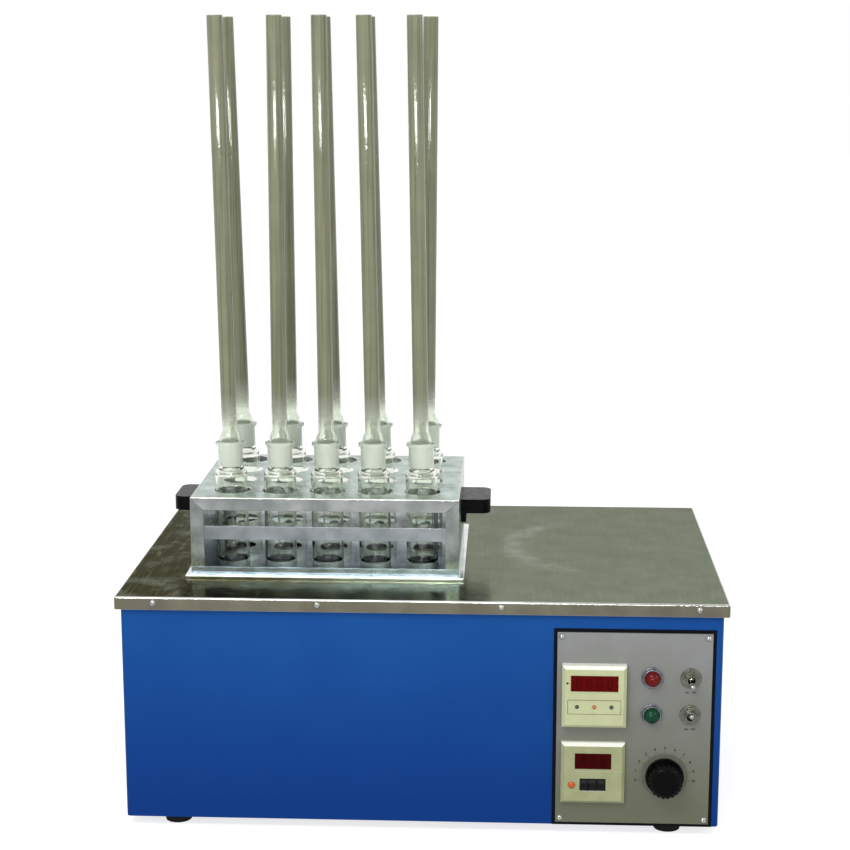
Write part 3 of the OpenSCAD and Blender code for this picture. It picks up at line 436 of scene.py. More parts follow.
@dataclass(frozen=True)
class HeatTintedSteel(Metal):
    """Brushed cover sheet with a dark reflection painted straw and brown at its left, beside the rack.

    Attributes:
        graze: What the steel reflects at a low angle, linear colour.
        tint: The darkest tone of the painted reflection, sRGB hex.
        pale: Pale streaks in the painted reflection, sRGB hex.
        tint_from_x: Object X at which the painted reflection begins, going left, in metres.
        tint_full_x: Object X at which the painted reflection is complete, in metres.
        cloud_mm: Width of one cloud of the painted reflection.
        cloud_least: Least share of the painted reflection between the clouds.
        pale_mm: Width of one pale streak.
        pale_share: How much of the pale tone shows in a streak.
        scuff: Fine bright scuffs from wiping, sRGB hex.
        scuff_mm: Width of one scuff. Real ones are finer, and this is as coarse as shows in the render.
        scuff_turn: Turn of the scuffs from the sheet's depth, in radians.
        scuff_share: How much of the bright tone shows in a scuff.
        wipe_patch_mm: Width of one patch that wiping left in the curved mark.
        wipe_share: Least and most of the bright tone in the mark.
        wipe_centre: Object X and Y that the curved wiping mark bends round, in metres.
        wipe_radius: Radius of the mark, in metres.
        wipe_reach: Half the width over which it fades, in metres.
        wipe_to_x: Object X up to which the mark shows, in metres.
    """

    graze: tuple[float, float, float, float] = (0.42, 0.43, 0.41, 1.0)
    tint: str = "4b4631"
    pale: str = "aba892"
    tint_from_x: float = 0.03
    tint_full_x: float = -0.2
    cloud_mm: float = 38.0
    cloud_least: float = 0.35
    pale_mm: float = 16.0
    pale_share: float = 0.55
    scuff: str = "c3cabb"
    scuff_mm: float = 3.0
    scuff_turn: float = 0.5
    scuff_share: float = 0.2
    wipe_patch_mm: float = 22.0
    wipe_share: tuple[float, float] = (0.1, 0.8)
    wipe_centre: tuple[float, float] = (0.22, 0.02)
    wipe_radius: float = 0.118
    wipe_reach: float = 0.024
    wipe_to_x: float = 0.2

    def wiped_share(self, tree: bpy.types.NodeTree, place: Socket, across: Socket) -> Socket:
        """Build the curved mark that a wiping hand left on the right of the cover.

        Args:
            tree: The material's tree.
            place: Object coordinates.
            across: Their X.

        Returns:
            The socket that gives the mark's share.
        """
        flat = add_node(tree, "ShaderNodeMapping", {"Vector": place, "Scale": (1.0, 1.0, 0.0)})
        away = add_node(
            tree,
            "ShaderNodeVectorMath",
            {0: flat.outputs["Vector"], 1: (*self.wipe_centre, 0.0)},
            operation="DISTANCE",
        )
        off = add_node(tree, "ShaderNodeMath", {0: away.outputs["Value"], 1: self.wipe_radius}, operation="SUBTRACT")
        far = add_node(tree, "ShaderNodeMath", {0: off.outputs[0]}, operation="ABSOLUTE")
        band = add_node(
            tree,
            "ShaderNodeMapRange",
            {"Value": far.outputs[0], "From Max": self.wipe_reach, "To Min": 1.0, "To Max": 0.0},
            interpolation_type="SMOOTHSTEP",
        )
        inward = add_node(
            tree,
            "ShaderNodeMapRange",
            {"Value": across, "From Min": self.wipe_to_x, "From Max": self.wipe_to_x - 3 * self.wipe_reach},
            interpolation_type="SMOOTHSTEP",
        )
        broken = add_node(
            tree,
            "ShaderNodeTexNoise",
            {"Vector": place, "Scale": scale_for(self.wipe_patch_mm), "Detail": 6.0, "Roughness": 0.6},
        )
        left_in = add_node(
            tree,
            "ShaderNodeMapRange",
            {
                "Value": broken.outputs["Fac"],
                "From Min": 0.36,
                "From Max": 0.62,
                "To Min": self.wipe_share[0],
                "To Max": self.wipe_share[1],
            },
        )
        there = add_node(
            tree,
            "ShaderNodeMath",
            {0: band.outputs["Result"], 1: inward.outputs["Result"]},
            operation="MULTIPLY",
        )
        mark = add_node(
            tree, "ShaderNodeMath", {0: there.outputs[0], 1: left_in.outputs["Result"]}, operation="MULTIPLY"
        )
        return mark.outputs[0]

    def shader_values(self) -> dict:
        """Make it a metal that is kept from flaring at a low angle."""
        return {"Metallic": 1.0, "Specular Tint": self.graze}

    def colour_socket(self, tree: bpy.types.NodeTree, place: Socket) -> Socket:
        """Build the sheet's colour and its painted reflection.

        Args:
            tree: The material's tree.
            place: Object coordinates.

        Returns:
            The socket that gives the colour.
        """
        sheet = super().colour_socket(tree, place)
        across = add_node(tree, "ShaderNodeSeparateXYZ", {"Vector": place}).outputs["X"]
        # Painted reflection: dark straw and brown clouds with pale streaks towards the sheet's left
        reach = add_node(
            tree,
            "ShaderNodeMapRange",
            {"Value": across, "From Min": self.tint_from_x, "From Max": self.tint_full_x},
            interpolation_type="SMOOTHSTEP",
        )
        clouds = add_node(
            tree,
            "ShaderNodeTexNoise",
            {"Vector": place, "Scale": scale_for(self.cloud_mm), "Detail": 7.0, "Roughness": 0.62},
        )
        mottle = add_node(
            tree,
            "ShaderNodeMapRange",
            {"Value": clouds.outputs["Fac"], "From Min": 0.72, "From Max": 0.5, "To Min": self.cloud_least},
        )
        amount = add_node(
            tree,
            "ShaderNodeMath",
            {0: reach.outputs["Result"], 1: mottle.outputs["Result"]},
            operation="MULTIPLY",
        )
        streaked = add_node(tree, "ShaderNodeMapping", {"Vector": place, "Scale": (1.0, 0.35, 1.0)})
        streaks = add_node(
            tree,
            "ShaderNodeTexNoise",
            {"Vector": streaked.outputs["Vector"], "Scale": scale_for(self.pale_mm), "Detail": 6.0, "Roughness": 0.6},
        )
        bright = add_node(
            tree,
            "ShaderNodeMapRange",
            {"Value": streaks.outputs["Fac"], "From Min": 0.56, "From Max": 0.72, "To Max": self.pale_share},
        )
        bright_here = add_node(
            tree,
            "ShaderNodeMath",
            {0: reach.outputs["Result"], 1: bright.outputs["Result"]},
            operation="MULTIPLY",
        )
        reflected_in = add_node(
            tree,
            "ShaderNodeMix",
            {"Factor": amount.outputs[0], 6: sheet, 7: linear(self.tint)},
            data_type="RGBA",
        )
        streaky = add_node(
            tree,
            "ShaderNodeMix",
            {"Factor": bright_here.outputs[0], 6: reflected_in.outputs[2], 7: linear(self.pale)},
            data_type="RGBA",
        )
        turned_grain = add_node(
            tree,
            "ShaderNodeMapping",
            {"Vector": place, "Rotation": (0.0, 0.0, self.scuff_turn), "Scale": (1.0, 0.05, 1.0)},
        )
        scuffs = add_node(
            tree,
            "ShaderNodeTexNoise",
            {
                "Vector": turned_grain.outputs["Vector"],
                "Scale": scale_for(self.scuff_mm),
                "Detail": 5.0,
                "Distortion": 0.6,
            },
        )
        scuffed = add_node(
            tree,
            "ShaderNodeMapRange",
            {"Value": scuffs.outputs["Fac"], "From Min": 0.5, "From Max": 0.8, "To Max": self.scuff_share},
        )
        rubbed = add_node(
            tree,
            "ShaderNodeMix",
            {"Factor": scuffed.outputs["Result"], 6: streaky.outputs[2], 7: linear(self.scuff)},
            data_type="RGBA",
        )
        wiped = add_node(
            tree,
            "ShaderNodeMix",
            {"Factor": self.wiped_share(tree, place, across), 6: rubbed.outputs[2], 7: linear(self.scuff)},
            data_type="RGBA",
        )
        return wiped.outputs[2]


@dataclass(frozen=True)
class Glass(Finish):
    """Borosilicate glass, drawn or blown, with the faint waves that drawing leaves.

    Attributes:
        transmission: Share of the light that passes, the rest is scattered white.
        ior: Index of refraction of borosilicate glass.
    """

    transmission: float = 1.0
    ior: float = 1.474

    def shader_values(self) -> dict:
        """Make it glass."""
        return {"Transmission Weight": self.transmission, "IOR": self.ior}


@dataclass(frozen=True)
class SmokyGlass(Glass):
    """Drawn glass painted grey-green along its length, as the backdrop seen through it, in fine upright streaks, clear
    at its foot.

    Attributes:
        streak: The darker streaks, sRGB hex.
        foot: The tone at its foot, sRGB hex.
        foot_transmission: Share of the light that passes at its foot.
        streak_mm: Width of a streak.
        streak_stretch: Width of a streak against its length.
        streak_share: How much of the darker tone shows in a streak.
        clear_z: Height up to which the foot is clear, in metres.
        full_z: Height from which the painted backdrop tone is full, in metres.
    """

    streak: str = "757860"
    foot: str = "f1f6ec"
    foot_transmission: float = 0.95
    streak_mm: float = 2.6
    streak_stretch: float = 0.012
    streak_share: float = 0.75
    clear_z: float = 0.444
    full_z: float = 0.486

    def colour_socket(self, tree: bpy.types.NodeTree, place: Socket) -> Socket:
        """Build the painted backdrop tone and its streaks.

        Args:
            tree: The material's tree.
            place: Object coordinates.

        Returns:
            The socket that gives the colour.
        """
        # Painted backdrop: grey-green, as the backdrop behind would show through the glass
        backdrop_tone = super().colour_socket(tree, place)
        drawn = add_node(tree, "ShaderNodeMapping", {"Vector": place, "Scale": (1.0, 1.0, self.streak_stretch)})
        lines = add_node(
            tree,
            "ShaderNodeTexNoise",
            {"Vector": drawn.outputs["Vector"], "Scale": scale_for(self.streak_mm), "Detail": 3.0},
        )
        share = add_node(
            tree,
            "ShaderNodeMapRange",
            {"Value": lines.outputs["Fac"], "From Min": 0.48, "From Max": 0.66, "To Max": self.streak_share},
        )
        streaked = add_node(
            tree,
            "ShaderNodeMix",
            {"Factor": share.outputs["Result"], 6: backdrop_tone, 7: linear(self.streak)},
            data_type="RGBA",
        )
        height = add_node(tree, "ShaderNodeSeparateXYZ", {"Vector": place}).outputs["Z"]
        fade = add_node(
            tree, "ShaderNodeMapRange", {"Value": height, "From Min": self.clear_z, "From Max": self.full_z}
        )
        whole = add_node(
            tree,
            "ShaderNodeMix",
            {"Factor": fade.outputs["Result"], 6: linear(self.foot), 7: streaked.outputs[2]},
            data_type="RGBA",
        )
        return whole.outputs[2]

    def varying_values(self, tree: bpy.types.NodeTree, place: Socket) -> dict:
        """Clear the painted backdrop tone towards the foot.

        Args:
            tree: The material's tree.
            place: Object coordinates.

        Returns:
            The share of light that passes, as the shader's input and its socket.
        """
        height = add_node(tree, "ShaderNodeSeparateXYZ", {"Vector": place}).outputs["Z"]
        clear = add_node(
            tree,
            "ShaderNodeMapRange",
            {
                "Value": height,
                "From Min": self.clear_z,
                "From Max": self.full_z,
                "To Min": self.foot_transmission,
                "To Max": self.transmission,
            },
        )
        return {"Transmission Weight": clear.outputs["Result"]}


@dataclass(frozen=True)
class Lens(Finish):
    """Clear coloured plastic over a dark lamp: deep colour, and gloss where it is domed.

    Attributes:
        gloss: Weight of the clear skin.
        skin_roughness: Roughness of that skin.
        ior: Index of refraction of acrylic.
    """

    gloss: float = 1.0
    skin_roughness: float = 0.04
    ior: float = 1.49

    def shader_values(self) -> dict:
        """Give the lens its gloss and index."""
        return {
            **super().shader_values(),
            "Coat Weight": self.gloss,
            "Coat Roughness": self.skin_roughness,
            "IOR": self.ior,
        }


# Stoved blue enamel: deep, even, softly glossy, with a faint orange peel, and painted shade that darkens it towards the
# foot
CASE_ENAMEL = GradedEnamel(
    "blue_stoved_enamel", "0e4d96", "06458f", patch_mm=90, patch_share=0.6, grain_mm=2.6, relief_mm=0.012,
    roughness=0.45, roughness_swing=0.06, specular=0.15, coat=0.0, low_colour="003680",
)
# Bright-rolled stainless sheet, brushed and scuffed, with a dark reflection painted brown at the left. Real brushing is
# about 0.1 mm wide: here and on the sheets below it is drawn 0.8 to 0.9 mm wide, so that it shows
COVER_STEEL = HeatTintedSteel(
    "cover_sheet_painted_reflection", "9ea492", "929884", patch_mm=34, patch_share=0.8, grain_mm=0.8, relief_mm=0.004,
    roughness=0.2, roughness_swing=0.06, brush=Brush.ALONG_Y,
)
# The same sheet folded down: it reflects the bench, so it looks warmer
LIP_STEEL = Metal(
    "folded_lip_sheet", "918e7c", "7e7b6a", patch_mm=30, patch_share=0.8, grain_mm=0.8, relief_mm=0.003, roughness=0.22,
    roughness_swing=0.05, brush=Brush.ALONG_X,
)
# Real rounded folds, whose brighter tone is a painted highlight standing for the glare that they catch
FOLD_HIGHLIGHT = Metal(
    "fold_painted_highlight", "d6d8d2", "b4b6af", patch_mm=70, patch_share=0.9, grain_mm=1.0, relief_mm=0.002, roughness=0.2,
    roughness_swing=0.05,
)
# Polished stainless sheet of the rack, its streaks along the sheet
RACK_STEEL = Metal(
    "polished_rack_sheet", "bec2c2", "939a98", patch_mm=30, patch_share=0.9, grain_mm=0.9, relief_mm=0.003,
    roughness=0.2, roughness_swing=0.08, brush=Brush.ALONG_X,
)
# The middle shelf's upturned rims, greyer than the rest of the rack
RAIL_STEEL = Metal(
    "grey_rack_rail", "b5bcbf", "868e90", patch_mm=34, patch_share=0.9, grain_mm=0.9, relief_mm=0.003, roughness=0.2,
    roughness_swing=0.08, brush=Brush.ALONG_X,
)
# The rack's sides, duller from being lifted by them
SIDE_STEEL = Metal(
    "handled_rack_sheet", "aeb5b0", "838c86", patch_mm=24, patch_share=0.9, grain_mm=0.9, relief_mm=0.003,
    roughness=0.24, roughness_swing=0.08, brush=Brush.ALONG_Z,
)
# Top plate of the rack, brushed and dulled by handling
TOP_STEEL = Metal(
    "brushed_top_plate", "bccec6", "8d9d95", patch_mm=24, patch_share=0.9, grain_mm=0.8, relief_mm=0.004,
    roughness=0.26, roughness_swing=0.08, brush=Brush.ALONG_X,
)
# Bottom plate, bluer than the rest of the rack
BOTTOM_STEEL = Metal(
    "bluish_bottom_plate", "b0bfca", "8d9ca6", patch_mm=24, patch_share=0.8, grain_mm=0.9, relief_mm=0.003, roughness=0.2,
    roughness_swing=0.06, brush=Brush.ALONG_X,
)
# Mirror-polished frame round the block
BEZEL_STEEL = Metal(
    "polished_bezel", "eef1ee", "c9cfcc", patch_mm=26, patch_share=0.7, grain_mm=1.0, relief_mm=0.002, roughness=0.12,
    roughness_swing=0.04,
)
# Plain inner sheet: grey and dull, never wiped
INNER_STEEL = Metal(
    "plain_inner_sheet", "9c9c96", "86867f", patch_mm=40, patch_share=0.7, grain_mm=1.2, relief_mm=0.004,
    roughness=0.35, roughness_swing=0.08,
)
# Nickel plating of the screws and switch levers: bright and small, so it glints
PLATED = Metal(
    "nickel_plating", "cfd0cb", "9d9e98", patch_mm=5, patch_share=0.7, grain_mm=0.5, relief_mm=0.002, roughness=0.2,
    roughness_swing=0.06,
)
# Switch nuts and washers, dulled by handling
WORN_NICKEL = Metal(
    "worn_nickel_plating", "8f9085", "6c6d63", patch_mm=6, patch_share=0.8, grain_mm=3.0, relief_mm=0.0008,
    roughness=0.3, roughness_swing=0.08,
)
# Lamp rims, plated and a little dull
RIM_PLATED = Metal(
    "dull_lamp_plating", "a3a5ab", "777980", patch_mm=5, patch_share=0.8, grain_mm=0.5, relief_mm=0.003, roughness=0.3,
    roughness_swing=0.08,
)
# Machined aluminium of the block: grey and dull, its turning marks drawn coarse enough to show
BLOCK_METAL = Metal(
    "machined_aluminium", "6f7370", "585b57", patch_mm=14, patch_share=0.7, grain_mm=0.6, relief_mm=0.005,
    roughness=0.38, roughness_swing=0.08,
)
# Ground cast iron of the heater plate: dark, matt and flat
HEATER_METAL = Metal(
    "ground_cast_iron", "4f4f4d", "444442", patch_mm=12, patch_share=0.6, grain_mm=0.8, relief_mm=0.01, roughness=0.5,
    roughness_swing=0.08,
)
# Ceramic fibre board: pale, matt and woolly
FIBRE = Finish(
    "ceramic_fibre_board", "d6d0bd", "c4bda8", patch_mm=9, patch_share=0.7, grain_mm=0.5, relief_mm=0.15, roughness=0.9,
    roughness_swing=0.05,
)
# Moulded rubber of the feet: black and matt
RUBBER = Finish(
    "moulded_rubber", "141414", "1d1d1c", patch_mm=9, patch_share=0.6, grain_mm=0.6, relief_mm=0.03, roughness=0.72,
    roughness_swing=0.08, specular=0.2,
)
# Black phenolic of the handles and the knob: near black, with a low even gloss and a little dust
PHENOLIC = Plastic(
    "black_phenolic", "030304", "0b0b0c", patch_mm=12, patch_share=0.5, grain_mm=1.6, relief_mm=0.002, roughness=0.26,
    roughness_swing=0.08, specular=0.1, coat=0.04,
)
# Black plastic of the wheels, gland and fuse holder: satin, a little grey
BLACK_PLASTIC = Plastic(
    "black_moulded_plastic", "0b0b0c", "151517", patch_mm=6, patch_share=0.5, grain_mm=0.5, relief_mm=0.01,
    roughness=0.42, roughness_swing=0.08, specular=0.2,
)
# Satin lacquer on the panel sheet, with painted shade that makes it yellower and greyer towards its foot
PANEL_LACQUER = GradedEnamel(
    "satin_grey_lacquer", "8c8d8f", "83857f", patch_mm=45, patch_share=0.7, grain_mm=0.9, relief_mm=0.006,
    roughness=0.45, roughness_swing=0.07, brush=Brush.ALONG_Z, specular=0.2, coat=0.1,
)
# Black sheet that shows round the panel as a dark border
PANEL_BORDER = Plastic(
    "black_panel_border", "070a12", "0b0e17", patch_mm=20, patch_share=0.5, grain_mm=0.8, relief_mm=0.01, roughness=0.5,
    roughness_swing=0.08, specular=0.1,
)
# Cream moulded plastic of the timer: warm and satin
CREAM = Plastic(
    "cream_housing_plastic", "c3c89d", "b6bb8f", patch_mm=18, patch_share=0.5, grain_mm=0.5, relief_mm=0.01,
    roughness=0.34, roughness_swing=0.06, specular=0.4, coat=0.2,
)
# The controller's housing, yellowed by heat
YELLOWED = Plastic(
    "yellowed_housing_plastic", "a5a981", "969a6f", patch_mm=15, patch_share=0.6, grain_mm=0.5, relief_mm=0.01,
    roughness=0.36, roughness_swing=0.06, specular=0.4, coat=0.2,
)
# Painted highlight on the housings' upward faces and top edges, where the lamps above the bench light them
TOP_HIGHLIGHT_PLASTIC = Plastic(
    "housing_top_painted_highlight", "f3f4ea", "e6e8d8", patch_mm=12, patch_share=0.5, grain_mm=0.5, relief_mm=0.01,
    roughness=0.3, roughness_swing=0.06, specular=0.5, coat=0.3,
)
# Red display filters, matt against glare
RED_FILTER = Lens(
    "red_display_filter", "5f0506", "4f0304", patch_mm=12, patch_share=0.6, grain_mm=2.0, relief_mm=0.002,
    roughness=0.3, roughness_swing=0.06, specular=0.06, gloss=0.0,
)
# The controller's filter, of a deeper red
DARK_FILTER = Lens(
    "dark_red_display_filter", "3f0304", "330203", patch_mm=12, patch_share=0.6, grain_mm=2.0, relief_mm=0.002,
    roughness=0.3, roughness_swing=0.06, specular=0.06, gloss=0.0,
)
# Unlit display segments, a little darker than the filter
SEGMENT = Plastic(
    "unlit_display_segments", "480405", "3c0304", patch_mm=3, patch_share=0.5, grain_mm=1.0, relief_mm=0.001,
    roughness=0.4, roughness_swing=0.05, specular=0.05,
)
# The same under the deeper filter
DARK_SEGMENT = Plastic(
    "unlit_dark_segments", "2e0203", "260203", patch_mm=3, patch_share=0.5, grain_mm=1.0, relief_mm=0.001,
    roughness=0.4, roughness_swing=0.05, specular=0.05,
)
# Red moulded lens of the upper pilot lamp: deep and dark while it is off, with a soft glint
RED_LENS = Lens(
    "red_lamp_lens", "6c0508", "500306", patch_mm=6, patch_share=0.6, grain_mm=1.6, relief_mm=0.002, roughness=0.26,
    roughness_swing=0.05, specular=0.1, gloss=0.3,
)
# Green moulded lens of the lower pilot lamp, as dark
GREEN_LENS = Lens(
    "green_lamp_lens", "044028", "03301d", patch_mm=6, patch_share=0.6, grain_mm=1.6, relief_mm=0.002, roughness=0.26,
    roughness_swing=0.05, specular=0.1, gloss=0.3,
)
# Amber indicator plastic: small, bright and glossy
AMBER_LENS = Lens(
    "amber_lamp_lens", "cf6326", "a8450f", patch_mm=2, patch_share=0.7, grain_mm=0.8, relief_mm=0.01, roughness=0.22,
    roughness_swing=0.05, specular=0.3, gloss=0.5,
)
# Dark buttons beside the indicator: glossy grey-green
DARK_LENS = Lens(
    "dark_button_lens", "3b4a36", "222c1f", patch_mm=2, patch_share=0.8, grain_mm=0.8, relief_mm=0.01, roughness=0.25,
    roughness_swing=0.05, specular=0.4, gloss=0.6,
)
# Lacquered ring behind the knob: grey-green and satin
DIAL_RING = Plastic(
    "dial_ring_lacquer", "666a5c", "585c4f", patch_mm=10, patch_share=0.6, grain_mm=0.8, relief_mm=0.004, roughness=0.4,
    roughness_swing=0.06, specular=0.2,
)
# Screen-printed ink: near black and matt
INK = Plastic(
    "screen_printed_ink", "1b1c1c", "292a28", patch_mm=2, patch_share=0.5, grain_mm=0.4, relief_mm=0.002,
    roughness=0.55, roughness_swing=0.05, specular=0.1,
)
# Olive line printed round the button strip
FRAME_INK = Plastic(
    "printed_frame_line", "6d6f4c", "5c5e40", patch_mm=4, patch_share=0.5, grain_mm=0.4, relief_mm=0.002,
    roughness=0.55, roughness_swing=0.05, specular=0.1,
)
# Blown borosilicate of the tubes: clear, with a trace of green and slow waves
TUBE_GLASS = Glass(
    "clear_borosilicate", "fafcf7", "f3f7ef", patch_mm=20, patch_share=0.5, grain_mm=9.0, relief_mm=0.03,
    roughness=0.03, roughness_swing=0.02,
)
# Drawn borosilicate of the condensers: painted grey-green, as the backdrop seen through it, with upright streaks, clear
# above the joint
CONDENSER_GLASS = SmokyGlass(
    "drawn_borosilicate_painted_backdrop", "9a9d81", "8e9177", patch_mm=34, patch_share=0.7, grain_mm=8.0, relief_mm=0.07,
    roughness=0.07, roughness_swing=0.03, transmission=0.26,
)
# Ground joints: frosted white, since the grinding scatters the light
GROUND_GLASS = Glass(
    "ground_joint_glass", "fafff6", "f0faeb", patch_mm=6, patch_share=0.5, grain_mm=0.5, relief_mm=0.01, roughness=0.45,
    roughness_swing=0.08, transmission=0.2,
)


# ---- meshes ----

WELD = 1e-6  # corners that lie this close are one, in metres
ON_AXIS = 1e-7  # a turned point this close to the axis is a pole, in metres
FLAT_DEG = 1.0  # faces that turn less than this are one flat face
SHARP_DEG = 38.0  # an edge that turns more than this is rounded
FOLD_STEPS = 3
EDGE_STEPS = 2
LEVEL = 0.5  # a face whose normal points up or down more than this is level
UPRIGHT = 0.3  # a face whose normal points up or down less than this is upright


def piece_from(name: str, mesh: bpy.types.Mesh, finishes: Sequence[Finish]) -> bpy.types.Object:
    """Put a mesh into the scene as a piece with its finishes.

    Args:
        name: The piece's name.
        mesh: Its mesh, in metres, in place.
        finishes: One finish for each material number of the mesh.

    Returns:
        The new object, at the origin.
    """
    piece = bpy.data.objects.new(name, mesh)
    bpy.context.scene.collection.objects.link(piece)
    for finish in finishes:
        mesh.materials.append(finish.make())
    return piece


def settle(piece: bpy.types.Object, body: str, slot: str, *nodes: str) -> bpy.types.Object:
    """Let a piece ride on its body, in place of the solids that it stands for.

    Args:
        piece: The finished piece.
        body: The body that carries it.
        slot: The record's material slot; not used.
        *nodes: The solids that it replaces.

    Returns:
        The piece.
    """
    if nodes:
        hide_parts(*nodes)
    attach(piece, body)
    triangles = sum(len(p.vertices) - 2 for p in piece.data.polygons)
    LOG.info("%s rides on %s, %d triangles", piece.name, body, triangles)
    return piece


def applied(piece: bpy.types.Object) -> bpy.types.Object:
    """Turn a piece's modifiers into plain mesh.

    Args:
        piece: An object with modifiers.

    Returns:
        The same object, without them.
    """
    graph = bpy.context.evaluated_depsgraph_get()
    mesh = bpy.data.meshes.new_from_object(piece.evaluated_get(graph), preserve_all_data_layers=True, depsgraph=graph)
    piece.modifiers.clear()
    piece.data = mesh
    return piece


def softened(
    frame: dict,
    node: str,
    finishes: Sequence[Finish],
    edge_mm: float,
    slot: str,
    zone: Callable[[Vector, Vector], int] | None = None,
    fold: Callable[[bmesh.types.BMEdge], float] | None = None,
) -> bpy.types.Object:
    """Copy a solid, round its sharp edges as a press or a mould leaves them, and put it in the solid's place.

    Args:
        frame: The loaded frame.
        node: The solid's name.
        finishes: The piece's finishes. Where folds are given, the last is theirs.
        edge_mm: Radius of the rounded edges.
        slot: The record's material slot.
        zone: Gives a face's material number from its centre and normal, before the edges are rounded.
        fold: Gives an edge's share of the radius.

    Returns:
        The piece.
    """
    mesh = frame["nodes"][node].data.copy()
    mesh.materials.clear()
    work = bmesh.new()
    work.from_mesh(mesh)
    bmesh.ops.remove_doubles(work, verts=work.verts, dist=WELD)
    bmesh.ops.dissolve_limit(
        work, angle_limit=math.radians(FLAT_DEG), verts=work.verts, edges=work.edges, delimit={"NORMAL"}
    )
    weights = work.edges.layers.float.get("bevel_weight_edge") or work.edges.layers.float.new("bevel_weight_edge")
    for edge in work.edges:
        sharp = len(edge.link_faces) == 2 and edge.calc_face_angle() > math.radians(SHARP_DEG)
        edge[weights] = (fold(edge) if fold else 1.0) if sharp else 0.0
    for face in work.faces:
        face.smooth = True
        face.material_index = zone(face.calc_center_median(), face.normal) if zone else 0
    work.to_mesh(mesh)
    work.free()
    piece = piece_from(f"{node}_dressed", mesh, finishes)
    bevel = piece.modifiers.new("edges", "BEVEL")
    bevel.width = mm(edge_mm)
    bevel.segments = FOLD_STEPS if fold else EDGE_STEPS
    bevel.limit_method = "WEIGHT"
    bevel.use_clamp_overlap = fold is None
    bevel.material = len(finishes) - 1 if fold else -1
    weighted = piece.modifiers.new("normals", "WEIGHTED_NORMAL")
    weighted.keep_sharp = True
    applied(piece)
    return settle(piece, frame["nodes"][node]["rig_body"], slot, node)


def turned(profile: Profile, zones: Sequence[int], segments: int = 72) -> bmesh.types.BMesh:
    """Turn a profile round Z into a closed shell.

    Args:
        profile: Radius and height of each point, outside first.
        zones: Material number of the band that starts at each point.
        segments: Number of faces round the axis.

    Returns:
        The shell, for the caller to place and free.
    """
    work = bmesh.new()
    rings: list[list[bmesh.types.BMVert]] = []
    for radius, height in profile:
        if radius < ON_AXIS:
            rings.append([work.verts.new((0.0, 0.0, height))])
            continue
        turn = [2 * math.pi * k / segments for k in range(segments)]
        rings.append([work.verts.new((radius * math.cos(a), radius * math.sin(a), height)) for a in turn])
    closed = len(rings[0]) > 1
    for i in range(len(rings) if closed else len(rings) - 1):
        low, high = rings[i], rings[(i + 1) % len(rings)]
        for k in range(segments):
            n = (k + 1) % segments
            corners = [low[k % len(low)], low[n % len(low)], high[n % len(high)], high[k % len(high)]]
            face = work.faces.new(list(dict.fromkeys(corners)))
            face.smooth = True
            face.material_index = zones[i]
    bmesh.ops.recalc_face_normals(work, faces=work.faces)
    return work


def arc(x: float, z: float, radius: float, start: float, end: float, steps: int = 10) -> Profile:
    """Give the points of an arc.

    Args:
        x: Centre, across.
        z: Centre, up.
        radius: Its radius.
        start: First angle, in degrees.
        end: Last angle, in degrees.
        steps: Number of steps.

    Returns:
        The points, both ends included.
    """
    angles = [math.radians(start + (end - start) * i / steps) for i in range(steps + 1)]
    return [(x + radius * math.cos(a), z + radius * math.sin(a)) for a in angles]


# ---- pieces that Geometry Nodes repeat ----


@dataclass
class Repeat:
    """A Geometry Nodes tree that puts bars at points and ends as one plain mesh.

    Attributes:
        name: The piece's name.
        finish: Its finish.
    """

    name: str
    finish: Finish

    def tree_with(self, inputs: dict[str, str]) -> tuple[bpy.types.NodeTree, Node, dict[str, str]]:
        """Start a tree with named inputs.

        Args:
            inputs: Each input's name and socket type.

        Returns:
            The tree, its input node, and each input's identifier.
        """
        tree = bpy.data.node_groups.new(self.name, "GeometryNodeTree")
        tree.interface.new_socket("Geometry", in_out="OUTPUT", socket_type="NodeSocketGeometry")
        found = {
            label: tree.interface.new_socket(label, in_out="INPUT", socket_type=kind).identifier
            for label, kind in inputs.items()
        }
        return tree, add_node(tree, "NodeGroupInput"), found

    def finished(
        self,
        tree: bpy.types.NodeTree,
        instances: Socket,
        values: dict[str, float],
        place: Callable[[Vector], Point],
    ) -> bpy.types.Object:
        """End the tree, evaluate it, and give the piece in place.

        Args:
            tree: The tree.
            instances: The socket that gives the instances.
            values: Value of each input, by its identifier.
            place: Turns a point of the tree's plane into a point of the model.

        Returns:
            The piece, with no modifier left.
        """
        real = add_node(tree, "GeometryNodeRealizeInstances", {"Geometry": instances})
        dressed = add_node(
            tree, "GeometryNodeSetMaterial", {"Geometry": real.outputs[0], "Material": self.finish.make()}
        )
        add_node(tree, "NodeGroupOutput", {"Geometry": dressed.outputs[0]})
        holder = piece_from(self.name, bpy.data.meshes.new(self.name), [self.finish])
        modifier = holder.modifiers.new("repeat", "NODES")
        modifier.node_group = tree
        for identifier, value in values.items():
            modifier[identifier] = value
        applied(holder)
        for vertex in holder.data.vertices:
            vertex.co = place(vertex.co.copy())
        work = bmesh.new()
        work.from_mesh(holder.data)
        bmesh.ops.recalc_face_normals(work, faces=work.faces)
        work.to_mesh(holder.data)
        work.free()
        return holder


